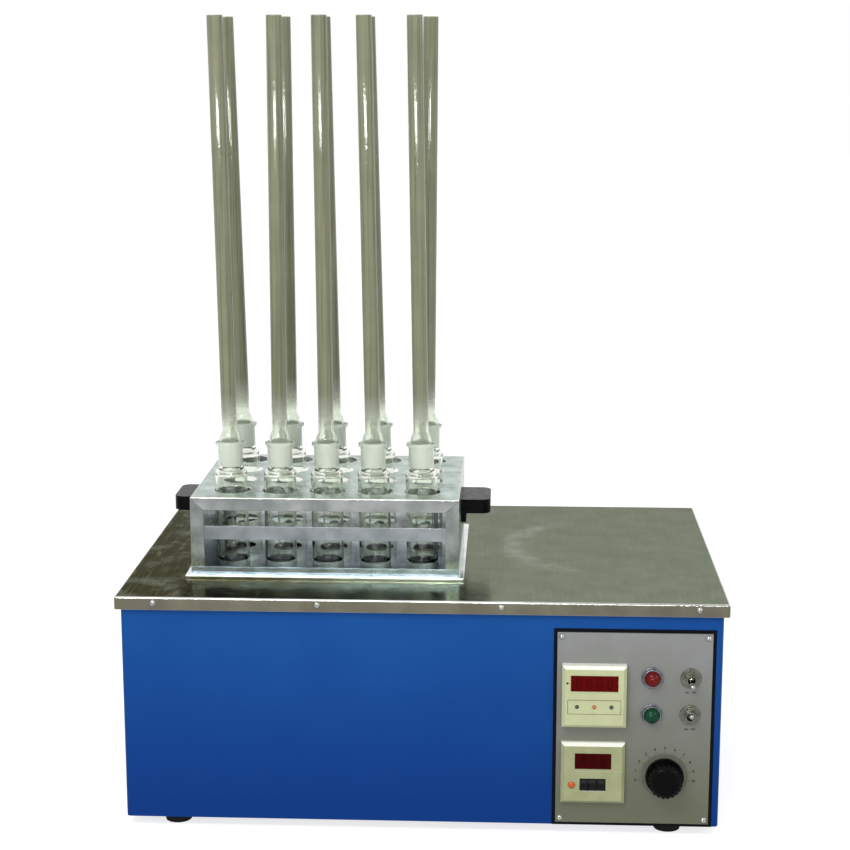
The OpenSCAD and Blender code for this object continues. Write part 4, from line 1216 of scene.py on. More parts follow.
@dataclass
class ArcMarks(Repeat):
    """Bars on an arc, as the marks of a dial.

    Attributes:
        count: Number of bars.
        radius_mm: Radius to the bars' middles.
        start_deg: Angle of the first bar.
        sweep_deg: Angle from the first to the last.
        long_mm: Length of a bar along the radius.
        wide_mm: Its width.
        thick_mm: Its thickness.
    """

    count: int = 11
    radius_mm: float = 29.0
    start_deg: float = 190.0
    sweep_deg: float = -200.0
    long_mm: float = 3.0
    wide_mm: float = 0.7
    thick_mm: float = 0.06

    def build(self, place: Callable[[Vector], Point]) -> bpy.types.Object:
        """Build the marks.

        Args:
            place: Turns a point of the dial's plane into a point of the model.

        Returns:
            The piece.
        """
        tree, given, ids = self.tree_with(
            {
                "Count": "NodeSocketInt",
                "Radius": "NodeSocketFloat",
                "Start": "NodeSocketFloat",
                "Step": "NodeSocketFloat",
                "Size": "NodeSocketVector",
            }
        )
        line = add_node(tree, "GeometryNodeMeshLine", {"Count": given.outputs["Count"]})
        number = add_node(tree, "GeometryNodeInputIndex")
        turn = add_node(
            tree,
            "ShaderNodeMath",
            {0: number.outputs[0], 1: given.outputs["Step"], 2: given.outputs["Start"]},
            operation="MULTIPLY_ADD",
        )
        spin = add_node(tree, "ShaderNodeCombineXYZ", {"Z": turn.outputs[0]})
        arm = add_node(tree, "ShaderNodeCombineXYZ", {"X": given.outputs["Radius"]})
        spot = add_node(
            tree,
            "ShaderNodeVectorRotate",
            {"Vector": arm.outputs[0], "Rotation": spin.outputs[0]},
            rotation_type="EULER_XYZ",
        )
        moved = add_node(
            tree, "GeometryNodeSetPosition", {"Geometry": line.outputs["Mesh"], "Position": spot.outputs[0]}
        )
        bar = add_node(tree, "GeometryNodeMeshCube", {"Size": given.outputs["Size"]})
        marks = add_node(
            tree,
            "GeometryNodeInstanceOnPoints",
            {"Points": moved.outputs[0], "Instance": bar.outputs["Mesh"], "Rotation": spin.outputs[0]},
        )
        step = math.radians(self.sweep_deg) / (self.count - 1)
        values = {
            ids["Count"]: self.count,
            ids["Radius"]: mm(self.radius_mm),
            ids["Start"]: math.radians(self.start_deg),
            ids["Step"]: step,
            ids["Size"]: (mm(self.long_mm), mm(self.wide_mm), mm(self.thick_mm)),
        }
        return self.finished(tree, marks.outputs[0], values, place)


@dataclass
class DigitRow(Repeat):
    """Unlit seven-segment digits in a row.

    Attributes:
        count: Number of digits.
        step_mm: Distance between two digits.
        high_mm: Height of a digit.
        wide_mm: Width of a digit.
        bar_mm: Width of a segment.
        thick_mm: Thickness of a segment.
    """

    count: int = 4
    step_mm: float = 11.0
    high_mm: float = 12.0
    wide_mm: float = 6.5
    bar_mm: float = 1.4
    thick_mm: float = 0.08

    def build(self, place: Callable[[Vector], Point]) -> bpy.types.Object:
        """Build the digits.

        Args:
            place: Turns a point of the window's plane into a point of the model.

        Returns:
            The piece.
        """
        tree, given, ids = self.tree_with(
            {
                "Count": "NodeSocketInt",
                "Step": "NodeSocketVector",
                "Start": "NodeSocketVector",
                "Flat bar": "NodeSocketVector",
                "Upright bar": "NodeSocketVector",
                "Rows": "NodeSocketVector",
                "Columns": "NodeSocketVector",
            }
        )
        joined = add_node(tree, "GeometryNodeJoinGeometry")
        for bar, spread, lines, shift in (
            ("Flat bar", "Rows", 3, 1.0),
            ("Upright bar", "Columns", 2, 0.5),
            ("Upright bar", "Columns", 2, -0.5),
        ):
            solid = add_node(tree, "GeometryNodeMeshCube", {"Size": given.outputs[bar]})
            back = add_node(
                tree,
                "ShaderNodeVectorMath",
                {0: given.outputs[spread], 1: (-(lines - 1) / 2,) * 3},
                operation="MULTIPLY",
            )
            half = add_node(
                tree,
                "ShaderNodeVectorMath",
                {0: given.outputs["Rows"], 1: (0.0 if lines == 3 else shift,) * 3},
                operation="MULTIPLY",
            )
            start = add_node(
                tree, "ShaderNodeVectorMath", {0: back.outputs[0], 1: half.outputs[0]}, operation="ADD"
            )
            line = add_node(
                tree,
                "GeometryNodeMeshLine",
                {"Count": lines, "Start Location": start.outputs[0], "Offset": given.outputs[spread]},
            )
            bars = add_node(
                tree,
                "GeometryNodeInstanceOnPoints",
                {"Points": line.outputs["Mesh"], "Instance": solid.outputs["Mesh"]},
            )
            tree.links.new(bars.outputs[0], joined.inputs[0])
        digits = add_node(
            tree,
            "GeometryNodeMeshLine",
            {
                "Count": given.outputs["Count"],
                "Start Location": given.outputs["Start"],
                "Offset": given.outputs["Step"],
            },
        )
        row = add_node(
            tree,
            "GeometryNodeInstanceOnPoints",
            {"Points": digits.outputs["Mesh"], "Instance": joined.outputs[0]},
        )
        high, wide, bar, thick = (mm(v) for v in (self.high_mm, self.wide_mm, self.bar_mm, self.thick_mm))
        values = {
            ids["Count"]: self.count,
            ids["Step"]: (mm(self.step_mm), 0.0, 0.0),
            ids["Start"]: (-mm(self.step_mm) * (self.count - 1) / 2, 0.0, 0.0),
            ids["Flat bar"]: (wide - 2 * bar, bar, thick),
            ids["Upright bar"]: (bar, high / 2 - bar, thick),
            ids["Rows"]: (0.0, (high - bar) / 2, 0.0),
            ids["Columns"]: (wide - bar, 0.0, 0.0),
        }
        return self.finished(tree, row.outputs[0], values, place)


# ---- sub-assemblies ----


@dataclass
class Assembly:
    """A sub-assembly of the digester.

    Attributes:
        frame: The loaded frame.
    """

    frame: dict

    def finish_node(self, node: str, finish: Finish) -> None:
        """Give a carried-over solid its finish.

        Args:
            node: The solid's name.
            finish: Its finish.
        """
        piece = self.frame["nodes"][node]
        piece.data.materials.clear()
        piece.data.materials.append(finish.make())
        LOG.info("%s keeps its solid, finish %s", node, finish.name)

    def build(self) -> None:
        """Build the sub-assembly's own pieces."""

    def dress(self) -> None:
        """Give its carried-over solids their finishes."""


def upper_fold(top: float, share: float, slack_mm: float = 0.05) -> Callable[[bmesh.types.BMEdge], float]:
    """Tell a sheet's folds at its flat top from its cut edges.

    Args:
        top: Height of the flat top, in metres.
        share: Share of the fold's radius that a cut edge gets.
        slack_mm: How far from that height an edge still lies at the top.

    Returns:
        A function that gives an edge's share.
    """

    def weigh(edge: bmesh.types.BMEdge) -> float:
        """Weigh one edge of the sheet.

        Args:
            edge: The edge.

        Returns:
            1 for an edge between the flat top and an outer side, the share for others.
        """
        high = all(abs(v.co.z - top) < mm(slack_mm) for v in edge.verts)
        upright = any(abs(f.normal.z) < UPRIGHT for f in edge.link_faces)
        return 1.0 if high and edge.is_convex and upright else share

    return weigh


@dataclass
class Case(Assembly):
    """Sheet-steel case with its cover, rear panel, feet and fittings.

    Attributes:
        fold_mm: Outer radius of the cover's folds.
        cut_share: Share of it that rounds a cut edge.
        lip_from_mm: Distance below the cover's top from which a face belongs to the lip.
        sheet_edge_mm: Radius of a cut sheet edge.
    """

    fold_mm: float = 2.2
    cut_share: float = 0.14
    lip_from_mm: float = 4.0
    sheet_edge_mm: float = 0.35

    def build(self) -> None:
        """Build the cover with its folds in a painted highlight, and the case with soft sheet edges."""
        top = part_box("top_cover")[1].z
        # The cover's folds take the painted highlight
        softened(
            self.frame,
            "top_cover",
            [COVER_STEEL, LIP_STEEL, FOLD_HIGHLIGHT],
            self.fold_mm,
            "stainless",
            lambda centre, normal: 0 if abs(normal.z) > LEVEL and centre.z > top - mm(self.lip_from_mm) else 1,
            upper_fold(top, self.cut_share),
        )
        softened(self.frame, "case_body", [CASE_ENAMEL], self.sheet_edge_mm, "case_paint")
        softened(self.frame, "rear_panel", [CASE_ENAMEL], self.sheet_edge_mm, "case_paint")

    def dress(self) -> None:
        """Finish the feet, screws and rear fittings."""
        self.finish_node("rubber_feet", RUBBER)
        self.finish_node("case_screws", PLATED)
        self.finish_node("cable_gland", BLACK_PLASTIC)
        self.finish_node("fuse_holder", BLACK_PLASTIC)


@dataclass
class BlockUnit(Assembly):
    """Heating block with its heater, insulation, housing and bezel.

    Attributes:
        bezel_edge_mm: Radius of the bezel's edges.
    """

    bezel_edge_mm: float = 0.8

    def build(self) -> None:
        """Build the bezel with rounded edges."""
        softened(self.frame, "block_bezel", [BEZEL_STEEL], self.bezel_edge_mm, "stainless")

    def dress(self) -> None:
        """Finish what the cover hides."""
        self.finish_node("heating_block", BLOCK_METAL)
        self.finish_node("heater_plate", HEATER_METAL)
        self.finish_node("block_insulation", FIBRE)
        self.finish_node("block_housing", INNER_STEEL)
        self.finish_node("temperature_probe", INNER_STEEL)


@dataclass
class Rack(Assembly):
    """Lift-out rack of folded sheet with two moulded handles.

    Attributes:
        fold_mm: Outer radius of the top plate's folds.
        cut_share: Share of it that rounds a cut edge.
        sheet_edge_mm: Radius of the sheet's edges.
        handle_edge_mm: Radius of the handles' moulded edges.
    """

    fold_mm: float = 1.4
    cut_share: float = 0.25
    sheet_edge_mm: float = 0.4
    handle_edge_mm: float = 2.2

    def build(self) -> None:
        """Build the sheets with soft edges, and the handles."""
        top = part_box("rack_top_plate")[1].z
        # The top plate's folds take the painted highlight
        softened(
            self.frame,
            "rack_top_plate",
            [TOP_STEEL, RACK_STEEL, FOLD_HIGHLIGHT],
            self.fold_mm,
            "stainless",
            lambda centre, normal: 0 if abs(normal.z) > LEVEL else 1,
            upper_fold(top, self.cut_share),
        )
        for node, finish in (
            ("rack_middle_shelf", RAIL_STEEL),
            ("rack_bottom_plate", BOTTOM_STEEL),
            ("rack_side_left", SIDE_STEEL),
            ("rack_side_right", SIDE_STEEL),
        ):
            softened(self.frame, node, [finish], self.sheet_edge_mm, "stainless")
        for node in ("handle_left", "handle_right"):
            softened(self.frame, node, [PHENOLIC], self.handle_edge_mm, "black_moulding")

    def dress(self) -> None:
        """Finish the handles' screws."""
        self.finish_node("handle_screws", PLATED)


class GlassZone(IntEnum):
    """Material numbers of the glass."""

    CLEAR = 0
    GROUND = 1


@dataclass
class Glassware(Assembly):
    """Digestion tubes and air condensers, in millimetres from the middle of a tube's seat.

    Attributes:
        pitch: Distance between two tube places.
        first_x: Place of the front left tube, across.
        first_y: Its place in depth.
        seat_z: Height of the seats.
        glass_rows: The rows that hold tubes, counted from the front.
        leans: Lean of each tube to the right, in degrees, front row then third row.
        body_r: Radius of a tube.
        tip_r: Radius of its lower end.
        wall: Its wall.
        tip_s: Its lowest point.
        cone_low_s: Where the lower end begins to widen.
        cone_high_s: Where it has widened.
        shoulder_s: Top of its shoulder.
        rim_s: Top of its rim.
        socket_r: Outer radius of the socket.
        rim_r: Outer radius of the rim.
        rim_t: Height of the rim.
        flare_share: Height from the rim's top at which the socket flares, against the rim's height.
        rim_round: Radius of the rim's rounded edges.
        joint_r: Radius of the ground cone at its top.
        joint_low_r: Radius of the ground cone at its low end.
        joint_len: Length of the ground joint.
        joint_gap: Gap between cone and socket.
        condenser_r: Radius of a condenser.
        condenser_wall: Its wall.
        condenser_len: Its length above the rim.
        end_round: Height of its fire-polished end.
        end_inset: How far that end draws in on each side of the wall.
        cone_taper: How much a ground cone widens along its length, in radius.
        cone_show: Length of the cone that shows above the rim.
        cone_blend: Length over which the cone narrows to the straight tube.
        hold: Distance of the rings that keep a straight wall's shading straight.
        sharp_deg: Angle from which an edge of the glass is sharp.
    """

    pitch: float = 56.0
    first_x: float = -227.0
    first_y: float = -94.75
    seat_z: float = 288.0
    glass_rows: tuple[int, int] = (0, 2)
    leans: tuple[tuple[float, ...], ...] = (
        (-0.9, 0.1, -0.4, -0.9, -0.8),
        (-1.3, -0.2, -1.0, -1.3, 0.4),
    )
    body_r: float = 18.75
    tip_r: float = 16.0
    wall: float = 1.8
    tip_s: float = -84.0
    cone_low_s: float = -1.65
    cone_high_s: float = 1.1
    shoulder_s: float = 108.0
    rim_s: float = 141.0
    socket_r: float = 14.7
    rim_r: float = 17.25
    rim_t: float = 4.0
    flare_share: float = 1.6
    rim_round: float = 1.2
    joint_r: float = 12.0
    joint_low_r: float = 10.55
    joint_len: float = 29.0
    joint_gap: float = 0.2
    condenser_r: float = 9.0
    condenser_wall: float = 1.5
    condenser_len: float = 488.0
    end_round: float = 0.6
    end_inset: float = 0.5
    cone_taper: float = 0.05
    cone_show: float = 4.0
    cone_blend: float = 10.0
    hold: float = 1.5
    sharp_deg: float = 50.0

    def tube_profile(self) -> tuple[Profile, list[int]]:
        """Draw half the section of a tube, up the outside and down the inside.

        Returns:
            The points in millimetres and the zone after each.
        """
        bend = self.body_r - self.socket_r
        inner_r = self.body_r - self.wall
        neck_r = self.joint_low_r + self.joint_gap
        inner_bend = inner_r - neck_r
        soft = self.rim_round
        outside = [
            *arc(0, self.tip_s + self.tip_r, self.tip_r, -90, 0, 12),
            (self.tip_r, self.cone_low_s - self.hold),
            (self.tip_r, self.cone_low_s),
            (self.body_r, self.cone_high_s),
            (self.body_r, self.cone_high_s + self.hold),
            (self.body_r, self.shoulder_s - bend - self.hold),
            *arc(self.socket_r, self.shoulder_s - bend, bend, 0, 90, 8),
            (self.socket_r, self.shoulder_s + self.hold),
            (self.socket_r, self.rim_s - self.flare_share * self.rim_t - self.hold),
            (self.socket_r, self.rim_s - self.flare_share * self.rim_t),
            *arc(self.rim_r - soft, self.rim_s - self.rim_t + soft, soft, -90, 0, 4),
            *arc(self.rim_r - soft, self.rim_s - soft, soft, 0, 90, 4),
        ]
        inside = [
            (self.joint_r + self.joint_gap, self.rim_s),
            (neck_r, self.rim_s - self.joint_len),
            (neck_r, self.shoulder_s - self.wall),
            *arc(neck_r, self.shoulder_s - self.wall - inner_bend, inner_bend, 90, 0, 8)[1:],
            (inner_r, self.shoulder_s - self.wall - inner_bend - self.hold),
            (inner_r, self.cone_high_s + self.wall / 2 + self.hold),
            (inner_r, self.cone_high_s + self.wall / 2),
            (self.tip_r - self.wall, self.cone_low_s + self.wall / 2),
            (self.tip_r - self.wall, self.cone_low_s + self.wall / 2 - self.hold),
            *arc(0, self.tip_s + self.tip_r, self.tip_r - self.wall, 0, -90, 12),
        ]
        zones = [int(GlassZone.CLEAR)] * (len(outside) + len(inside))
        zones[len(outside)] = int(GlassZone.GROUND)
        return outside + inside, zones

    def condenser_profile(self) -> tuple[Profile, list[int]]:
        """Draw half the section of a condenser, up the outside and down the inside.

        Returns:
            The points in millimetres and the zone after each.
        """
        bore = self.condenser_r - self.condenser_wall
        cone_r = self.joint_r + self.cone_taper * self.cone_show
        steps = [k / 10 for k in range(11)]

        def swept(base: float) -> Profile:
            """Give the blend from the cone to the straight tube.

            Args:
                base: Radius of the straight wall.

            Returns:
                The blend's points, cone first.
            """
            return [
                (
                    base + (cone_r - self.condenser_r) * (1 + math.cos(math.pi * k)) / 2,
                    self.rim_s + self.cone_show + self.cone_blend * k,
                )
                for k in steps
            ]

        top = self.rim_s + self.condenser_len
        low = self.rim_s - self.joint_len
        outside = [
            (self.joint_low_r - self.condenser_wall, low),
            (self.joint_low_r, low),
            (self.joint_r, self.rim_s),
            *swept(self.condenser_r),
            (self.condenser_r, self.rim_s + self.cone_show + self.cone_blend + self.hold),
            (self.condenser_r, top - self.end_round - self.hold),
            (self.condenser_r, top - self.end_round),
            (self.condenser_r - self.end_inset, top),
        ]
        inside = [
            (bore + self.end_inset, top),
            (bore, top - self.end_round),
            (bore, top - self.end_round - self.hold),
            (bore, self.rim_s + self.cone_show + self.cone_blend + self.hold),
            *reversed(swept(bore)),
        ]
        zones = [int(GlassZone.CLEAR)] * (len(outside) + len(inside))
        zones[1] = int(GlassZone.GROUND)
        return outside + inside, zones

    def stand(self, work: bmesh.types.BMesh, row: int, column: int, lean: float) -> None:
        """Put a turned shell, drawn in millimetres from its seat, at its tube place.

        Args:
            work: The shell.
            row: Its row.
            column: Its column.
            lean: Its lean to the right, in degrees.
        """
        turn = math.radians(lean)
        seat = Vector((self.first_x + column * self.pitch, self.first_y + row * self.pitch, self.seat_z))
        for vertex in work.verts:
            x, y, z = vertex.co
            leaned = Vector((x * math.cos(turn) + z * math.sin(turn), y, z * math.cos(turn) - x * math.sin(turn)))
            vertex.co = (seat + leaned) / 1000.0

    def build(self) -> None:
        """Build each tube and its condenser, the joints ground."""
        for group, row in enumerate(self.glass_rows):
            for column, lean in enumerate(self.leans[group]):
                number = f"{group * len(self.leans[0]) + column + 1:02d}"
                for kind, body, section, clear in (
                    ("digestion_tube", "tube", self.tube_profile(), TUBE_GLASS),
                    ("air_condenser", "condenser", self.condenser_profile(), CONDENSER_GLASS),
                ):
                    work = turned(*section)
                    self.stand(work, row, column, lean)
                    mesh = bpy.data.meshes.new(f"{kind}_{number}_blown")
                    work.to_mesh(mesh)
                    work.free()
                    mesh.set_sharp_from_angle(angle=math.radians(self.sharp_deg))
                    piece = piece_from(mesh.name, mesh, [clear, GROUND_GLASS])
                    settle(piece, f"{body}_{number}", "glass", f"{kind}_{number}")


@dataclass
class Panel(Assembly):
    """Control panel with its print. Places are in millimetres from the panel's upper left corner.

    Attributes:
        edge_mm: Radius of the panel sheet's edges.
        gasket_edge_mm: Radius of the black border's edges.
        knob_at: Place of the knob's axis.
        knob_number_r: Radius of the ring of numbers.
        dial_start: Angle of the first number, in degrees.
        dial_sweep: Angle from the first number to the last, in degrees.
        numbers: How many numbers the dial has.
        switches_at: Places of the two switches.
        mark_r: Radius to the middle of a dial mark.
        mark_long: Length of a dial mark.
        mark_wide: Width of a dial mark.
        number_high: Height of a number.
        word_high: Height of a word.
        word_drop: How far a word's middle lies below its switch.
        lift_mm: How far the print's middle stands out of the panel.
        font_share: The font's size against the height of its capitals.
        bold_share: How far a stroke is widened, against the height.
        ink_mm: Half the thickness of the ink.
    """

    edge_mm: float = 0.4
    gasket_edge_mm: float = 0.2
    knob_at: tuple[float, float] = (122.5, 167.5)
    knob_number_r: float = 33.0
    dial_start: float = 190.0
    dial_sweep: float = -200.0
    numbers: int = 11
    switches_at: tuple[tuple[float, float], ...] = ((149.5, 51.5), (149.5, 94.5))
    mark_r: float = 28.4
    mark_long: float = 1.8
    mark_wide: float = 0.5
    number_high: float = 3.1
    word_high: float = 2.0
    word_drop: float = 17.0
    lift_mm: float = 0.05
    font_share: float = 1.4
    bold_share: float = 0.035
    ink_mm: float = 0.02

    def __post_init__(self) -> None:
        """Read where the panel's corner is."""
        low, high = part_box("control_panel")
        self.corner = Vector((low.x, low.y, high.z))

    def on_panel(self, u: float, v: float, out: float = 0.0) -> Callable[[Vector], Point]:
        """Give the placing of a flat drawing on the panel.

        Args:
            u: Its middle from the panel's left edge, in millimetres.
            v: Its middle from the panel's top edge, in millimetres.
            out: How far it stands out of the panel, in millimetres.

        Returns:
            A function from the drawing's plane to the model.
        """
        middle = self.corner + Vector((mm(u), -mm(out), -mm(v)))

        def place(point: Vector) -> Point:
            """Put one point of the drawing on the panel."""
            return middle.x + point.x, middle.y - point.z, middle.z + point.y

        return place

    def lettering(self, name: str, words: Iterable[tuple[str, float, float]], high_mm: float) -> bpy.types.Object:
        """Print plain numbers or words as one thin mesh.

        Args:
            name: The piece's name.
            words: Each word with its place on the panel.
            high_mm: Height of the letters.

        Returns:
            The piece.
        """
        joined = bmesh.new()
        for word, u, v in words:
            curve = bpy.data.curves.new(name, "FONT")
            curve.body = word
            curve.size = mm(high_mm) * self.font_share
            curve.offset = mm(high_mm) * self.bold_share
            curve.align_x = "CENTER"
            curve.align_y = "CENTER"
            curve.extrude = mm(self.ink_mm)
            holder = bpy.data.objects.new(name, curve)
            bpy.context.scene.collection.objects.link(holder)
            graph = bpy.context.evaluated_depsgraph_get()
            mesh = bpy.data.meshes.new_from_object(holder.evaluated_get(graph), depsgraph=graph)
            place = self.on_panel(u, v, self.lift_mm)
            for vertex in mesh.vertices:
                vertex.co = place(vertex.co.copy())
            joined.from_mesh(mesh)
            bpy.data.objects.remove(holder)
            bpy.data.meshes.remove(mesh)
        mesh = bpy.data.meshes.new(name)
        bmesh.ops.recalc_face_normals(joined, faces=joined.faces)
        joined.to_mesh(mesh)
        joined.free()
        return settle(piece_from(name, mesh, [INK]), "root", "panel_grey")

    def build(self) -> None:
        """Build the panel, its dial marks and its print."""
        softened(self.frame, "control_panel", [PANEL_LACQUER], self.edge_mm, "panel_grey")
        softened(self.frame, "panel_surround", [PANEL_BORDER], self.gasket_edge_mm, "surround_black")
        u, v = self.knob_at
        marks = ArcMarks(
            "dial_marks",
            INK,
            count=self.numbers,
            radius_mm=self.mark_r,
            start_deg=self.dial_start,
            sweep_deg=self.dial_sweep,
            long_mm=self.mark_long,
            wide_mm=self.mark_wide,
        )
        settle(marks.build(self.on_panel(u, v, self.lift_mm)), "root", "panel_grey")
        placed = []
        for i in range(self.numbers):
            turn = math.radians(self.dial_start + self.dial_sweep * i / (self.numbers - 1))
            placed.append(
                (str(i), u + self.knob_number_r * math.cos(turn), v - self.knob_number_r * math.sin(turn))
            )
        self.lettering("dial_numbers", placed, self.number_high)
        self.lettering(
            "switch_words", [("ON    OFF", su, sv + self.word_drop) for su, sv in self.switches_at], self.word_high
        )

    def dress(self) -> None:
        """Finish the corner screws and the regulator's ring."""
        self.finish_node("panel_screws", PLATED)
        self.finish_node("regulator", DIAL_RING)


@dataclass
class Meters(Assembly):
    """Timer and controller: housings, windows, digits, lamps and setting wheels.

    Attributes:
        edge_mm: Radius of the housings' moulded edges.
        lamp_edge_mm: Radius of the small lamps' edges.
        timer_digits: Number of digits in the timer's window.
        controller_digits: Number of digits in the controller's window.
        digit_step_mm: Distance between two digits.
        digit_out_mm: How far a digit's middle stands out of its window.
        button_off_mm: Distance from the timer's middle past which a lamp is a dark button.
        bleached_up: How far upwards a face points, 0 to 1, from which it takes the painted highlight.
        strip_mm: Width and height of the printed frame round the buttons.
        strip_drop_mm: How far its middle lies below the timer's.
        strip_line_mm: Width of its line.
        strip_sunk_mm: How far the line's middle lies inside the housing's face.
        strip_thick_mm: Thickness of the line.
    """

    edge_mm: float = 0.5
    lamp_edge_mm: float = 0.3
    timer_digits: int = 4
    controller_digits: int = 3
    digit_step_mm: float = 11.5
    digit_out_mm: float = 0.03
    button_off_mm: float = 12.0
    bleached_up: float = 0.3
    strip_mm: tuple[float, float] = (59.5, 16.6)
    strip_drop_mm: float = 11.2
    strip_line_mm: float = 0.5
    strip_sunk_mm: float = 0.02
    strip_thick_mm: float = 0.12

    def lamp_zone(self, centre: Vector, normal: Vector) -> int:
        """Tell the dark buttons from the amber lamps.

        Args:
            centre: A face's middle.
            normal: Its normal; not used.

        Returns:
            0 for amber, 1 for dark.
        """
        low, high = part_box("timer")
        beside = abs(centre.x - (low.x + high.x) / 2) > mm(self.button_off_mm)
        return 1 if beside and centre.z > low.z else 0

    def strip_line(self) -> None:
        """Print a thin frame round the timer's button strip."""
        low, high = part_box("timer")
        middle_x = (low.x + high.x) / 2
        middle_z = (low.z + high.z) / 2 - mm(self.strip_drop_mm)
        half_w, half_h = (mm(v) / 2 for v in self.strip_mm)
        half_line = mm(self.strip_line_mm) / 2
        work = bmesh.new()
        for x, z, w, h in (
            (0.0, half_h, half_w, half_line),
            (0.0, -half_h, half_w, half_line),
            (half_w, 0.0, half_line, half_h),
            (-half_w, 0.0, half_line, half_h),
        ):
            bar = bmesh.ops.create_cube(work, size=1.0)["verts"]
            for vertex in bar:
                vertex.co = Vector(
                    (
                        middle_x + x + vertex.co.x * 2 * w,
                        low.y + mm(self.strip_sunk_mm) + vertex.co.y * mm(self.strip_thick_mm),
                        middle_z + z + vertex.co.z * 2 * h,
                    )
                )
        mesh = bpy.data.meshes.new("button_strip_line")
        work.to_mesh(mesh)
        work.free()
        settle(piece_from(mesh.name, mesh, [FRAME_INK]), "root", "timer_plastic")

    def digits(self, name: str, window: str, count: int, finish: Finish) -> None:
        """Put unlit digits on a window.

        Args:
            name: The piece's name.
            window: The window's solid.
            count: Number of digits.
            finish: The segments' finish.
        """
        low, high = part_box(window)
        middle = (low + high) / 2

        def place(point: Vector) -> Point:
            """Put one point of the drawing on the window."""
            return middle.x + point.x, low.y - mm(self.digit_out_mm) - point.z, middle.z + point.y

        row = DigitRow(name, finish, count=count, step_mm=self.digit_step_mm)
        settle(row.build(place), "root", "red_window")

    def build(self) -> None:
        """Build the housings and the digits."""
        # The housings' upward faces take a painted highlight
        for node, finish, slot in (("timer", CREAM, "timer_plastic"), ("controller", YELLOWED, "controller_plastic")):
            softened(
                self.frame,
                node,
                [finish, TOP_HIGHLIGHT_PLASTIC],
                self.edge_mm,
                slot,
                lambda centre, normal: int(normal.z > self.bleached_up),
            )
        softened(
            self.frame, "meter_lamps", [AMBER_LENS, DARK_LENS], self.lamp_edge_mm, "amber_lens", self.lamp_zone
        )
        self.strip_line()
        self.digits("timer_digits", "timer_window", self.timer_digits, SEGMENT)
        self.digits("controller_digits", "controller_window", self.controller_digits, DARK_SEGMENT)

    def dress(self) -> None:
        """Finish the windows and wheels."""
        self.finish_node("timer_window", RED_FILTER)
        self.finish_node("controller_window", DARK_FILTER)
        for number in (1, 2, 3):
            self.finish_node(f"thumbwheel_{number}", BLACK_PLASTIC)


@dataclass
class LampsAndSwitches(Assembly):
    """Pilot lamps and toggle switches.

    Attributes:
        edge_mm: Radius of the turned edges.
    """

    edge_mm: float = 0.35

    def build(self) -> None:
        """Build the lamps' rims and the switches with soft edges."""
        softened(self.frame, "pilot_lamp_bodies", [RIM_PLATED], self.edge_mm, "plated_metal")
        softened(self.frame, "toggle_switches", [WORN_NICKEL], self.edge_mm, "plated_metal")

    def dress(self) -> None:
        """Finish the lenses and levers."""
        self.finish_node("red_lens", RED_LENS)
        self.finish_node("green_lens", GREEN_LENS)
        self.finish_node("toggle_lever_upper", PLATED)
        self.finish_node("toggle_lever_lower", PLATED)


@dataclass
class Knob(Assembly):
    """Regulator knob.

    Attributes:
        edge_mm: Radius of the moulded edges.
    """

    edge_mm: float = 0.5

    def build(self) -> None:
        """Build the knob with soft edges."""
        softened(self.frame, "regulator_knob", [PHENOLIC], self.edge_mm, "black_moulding")


# ---- studio ----


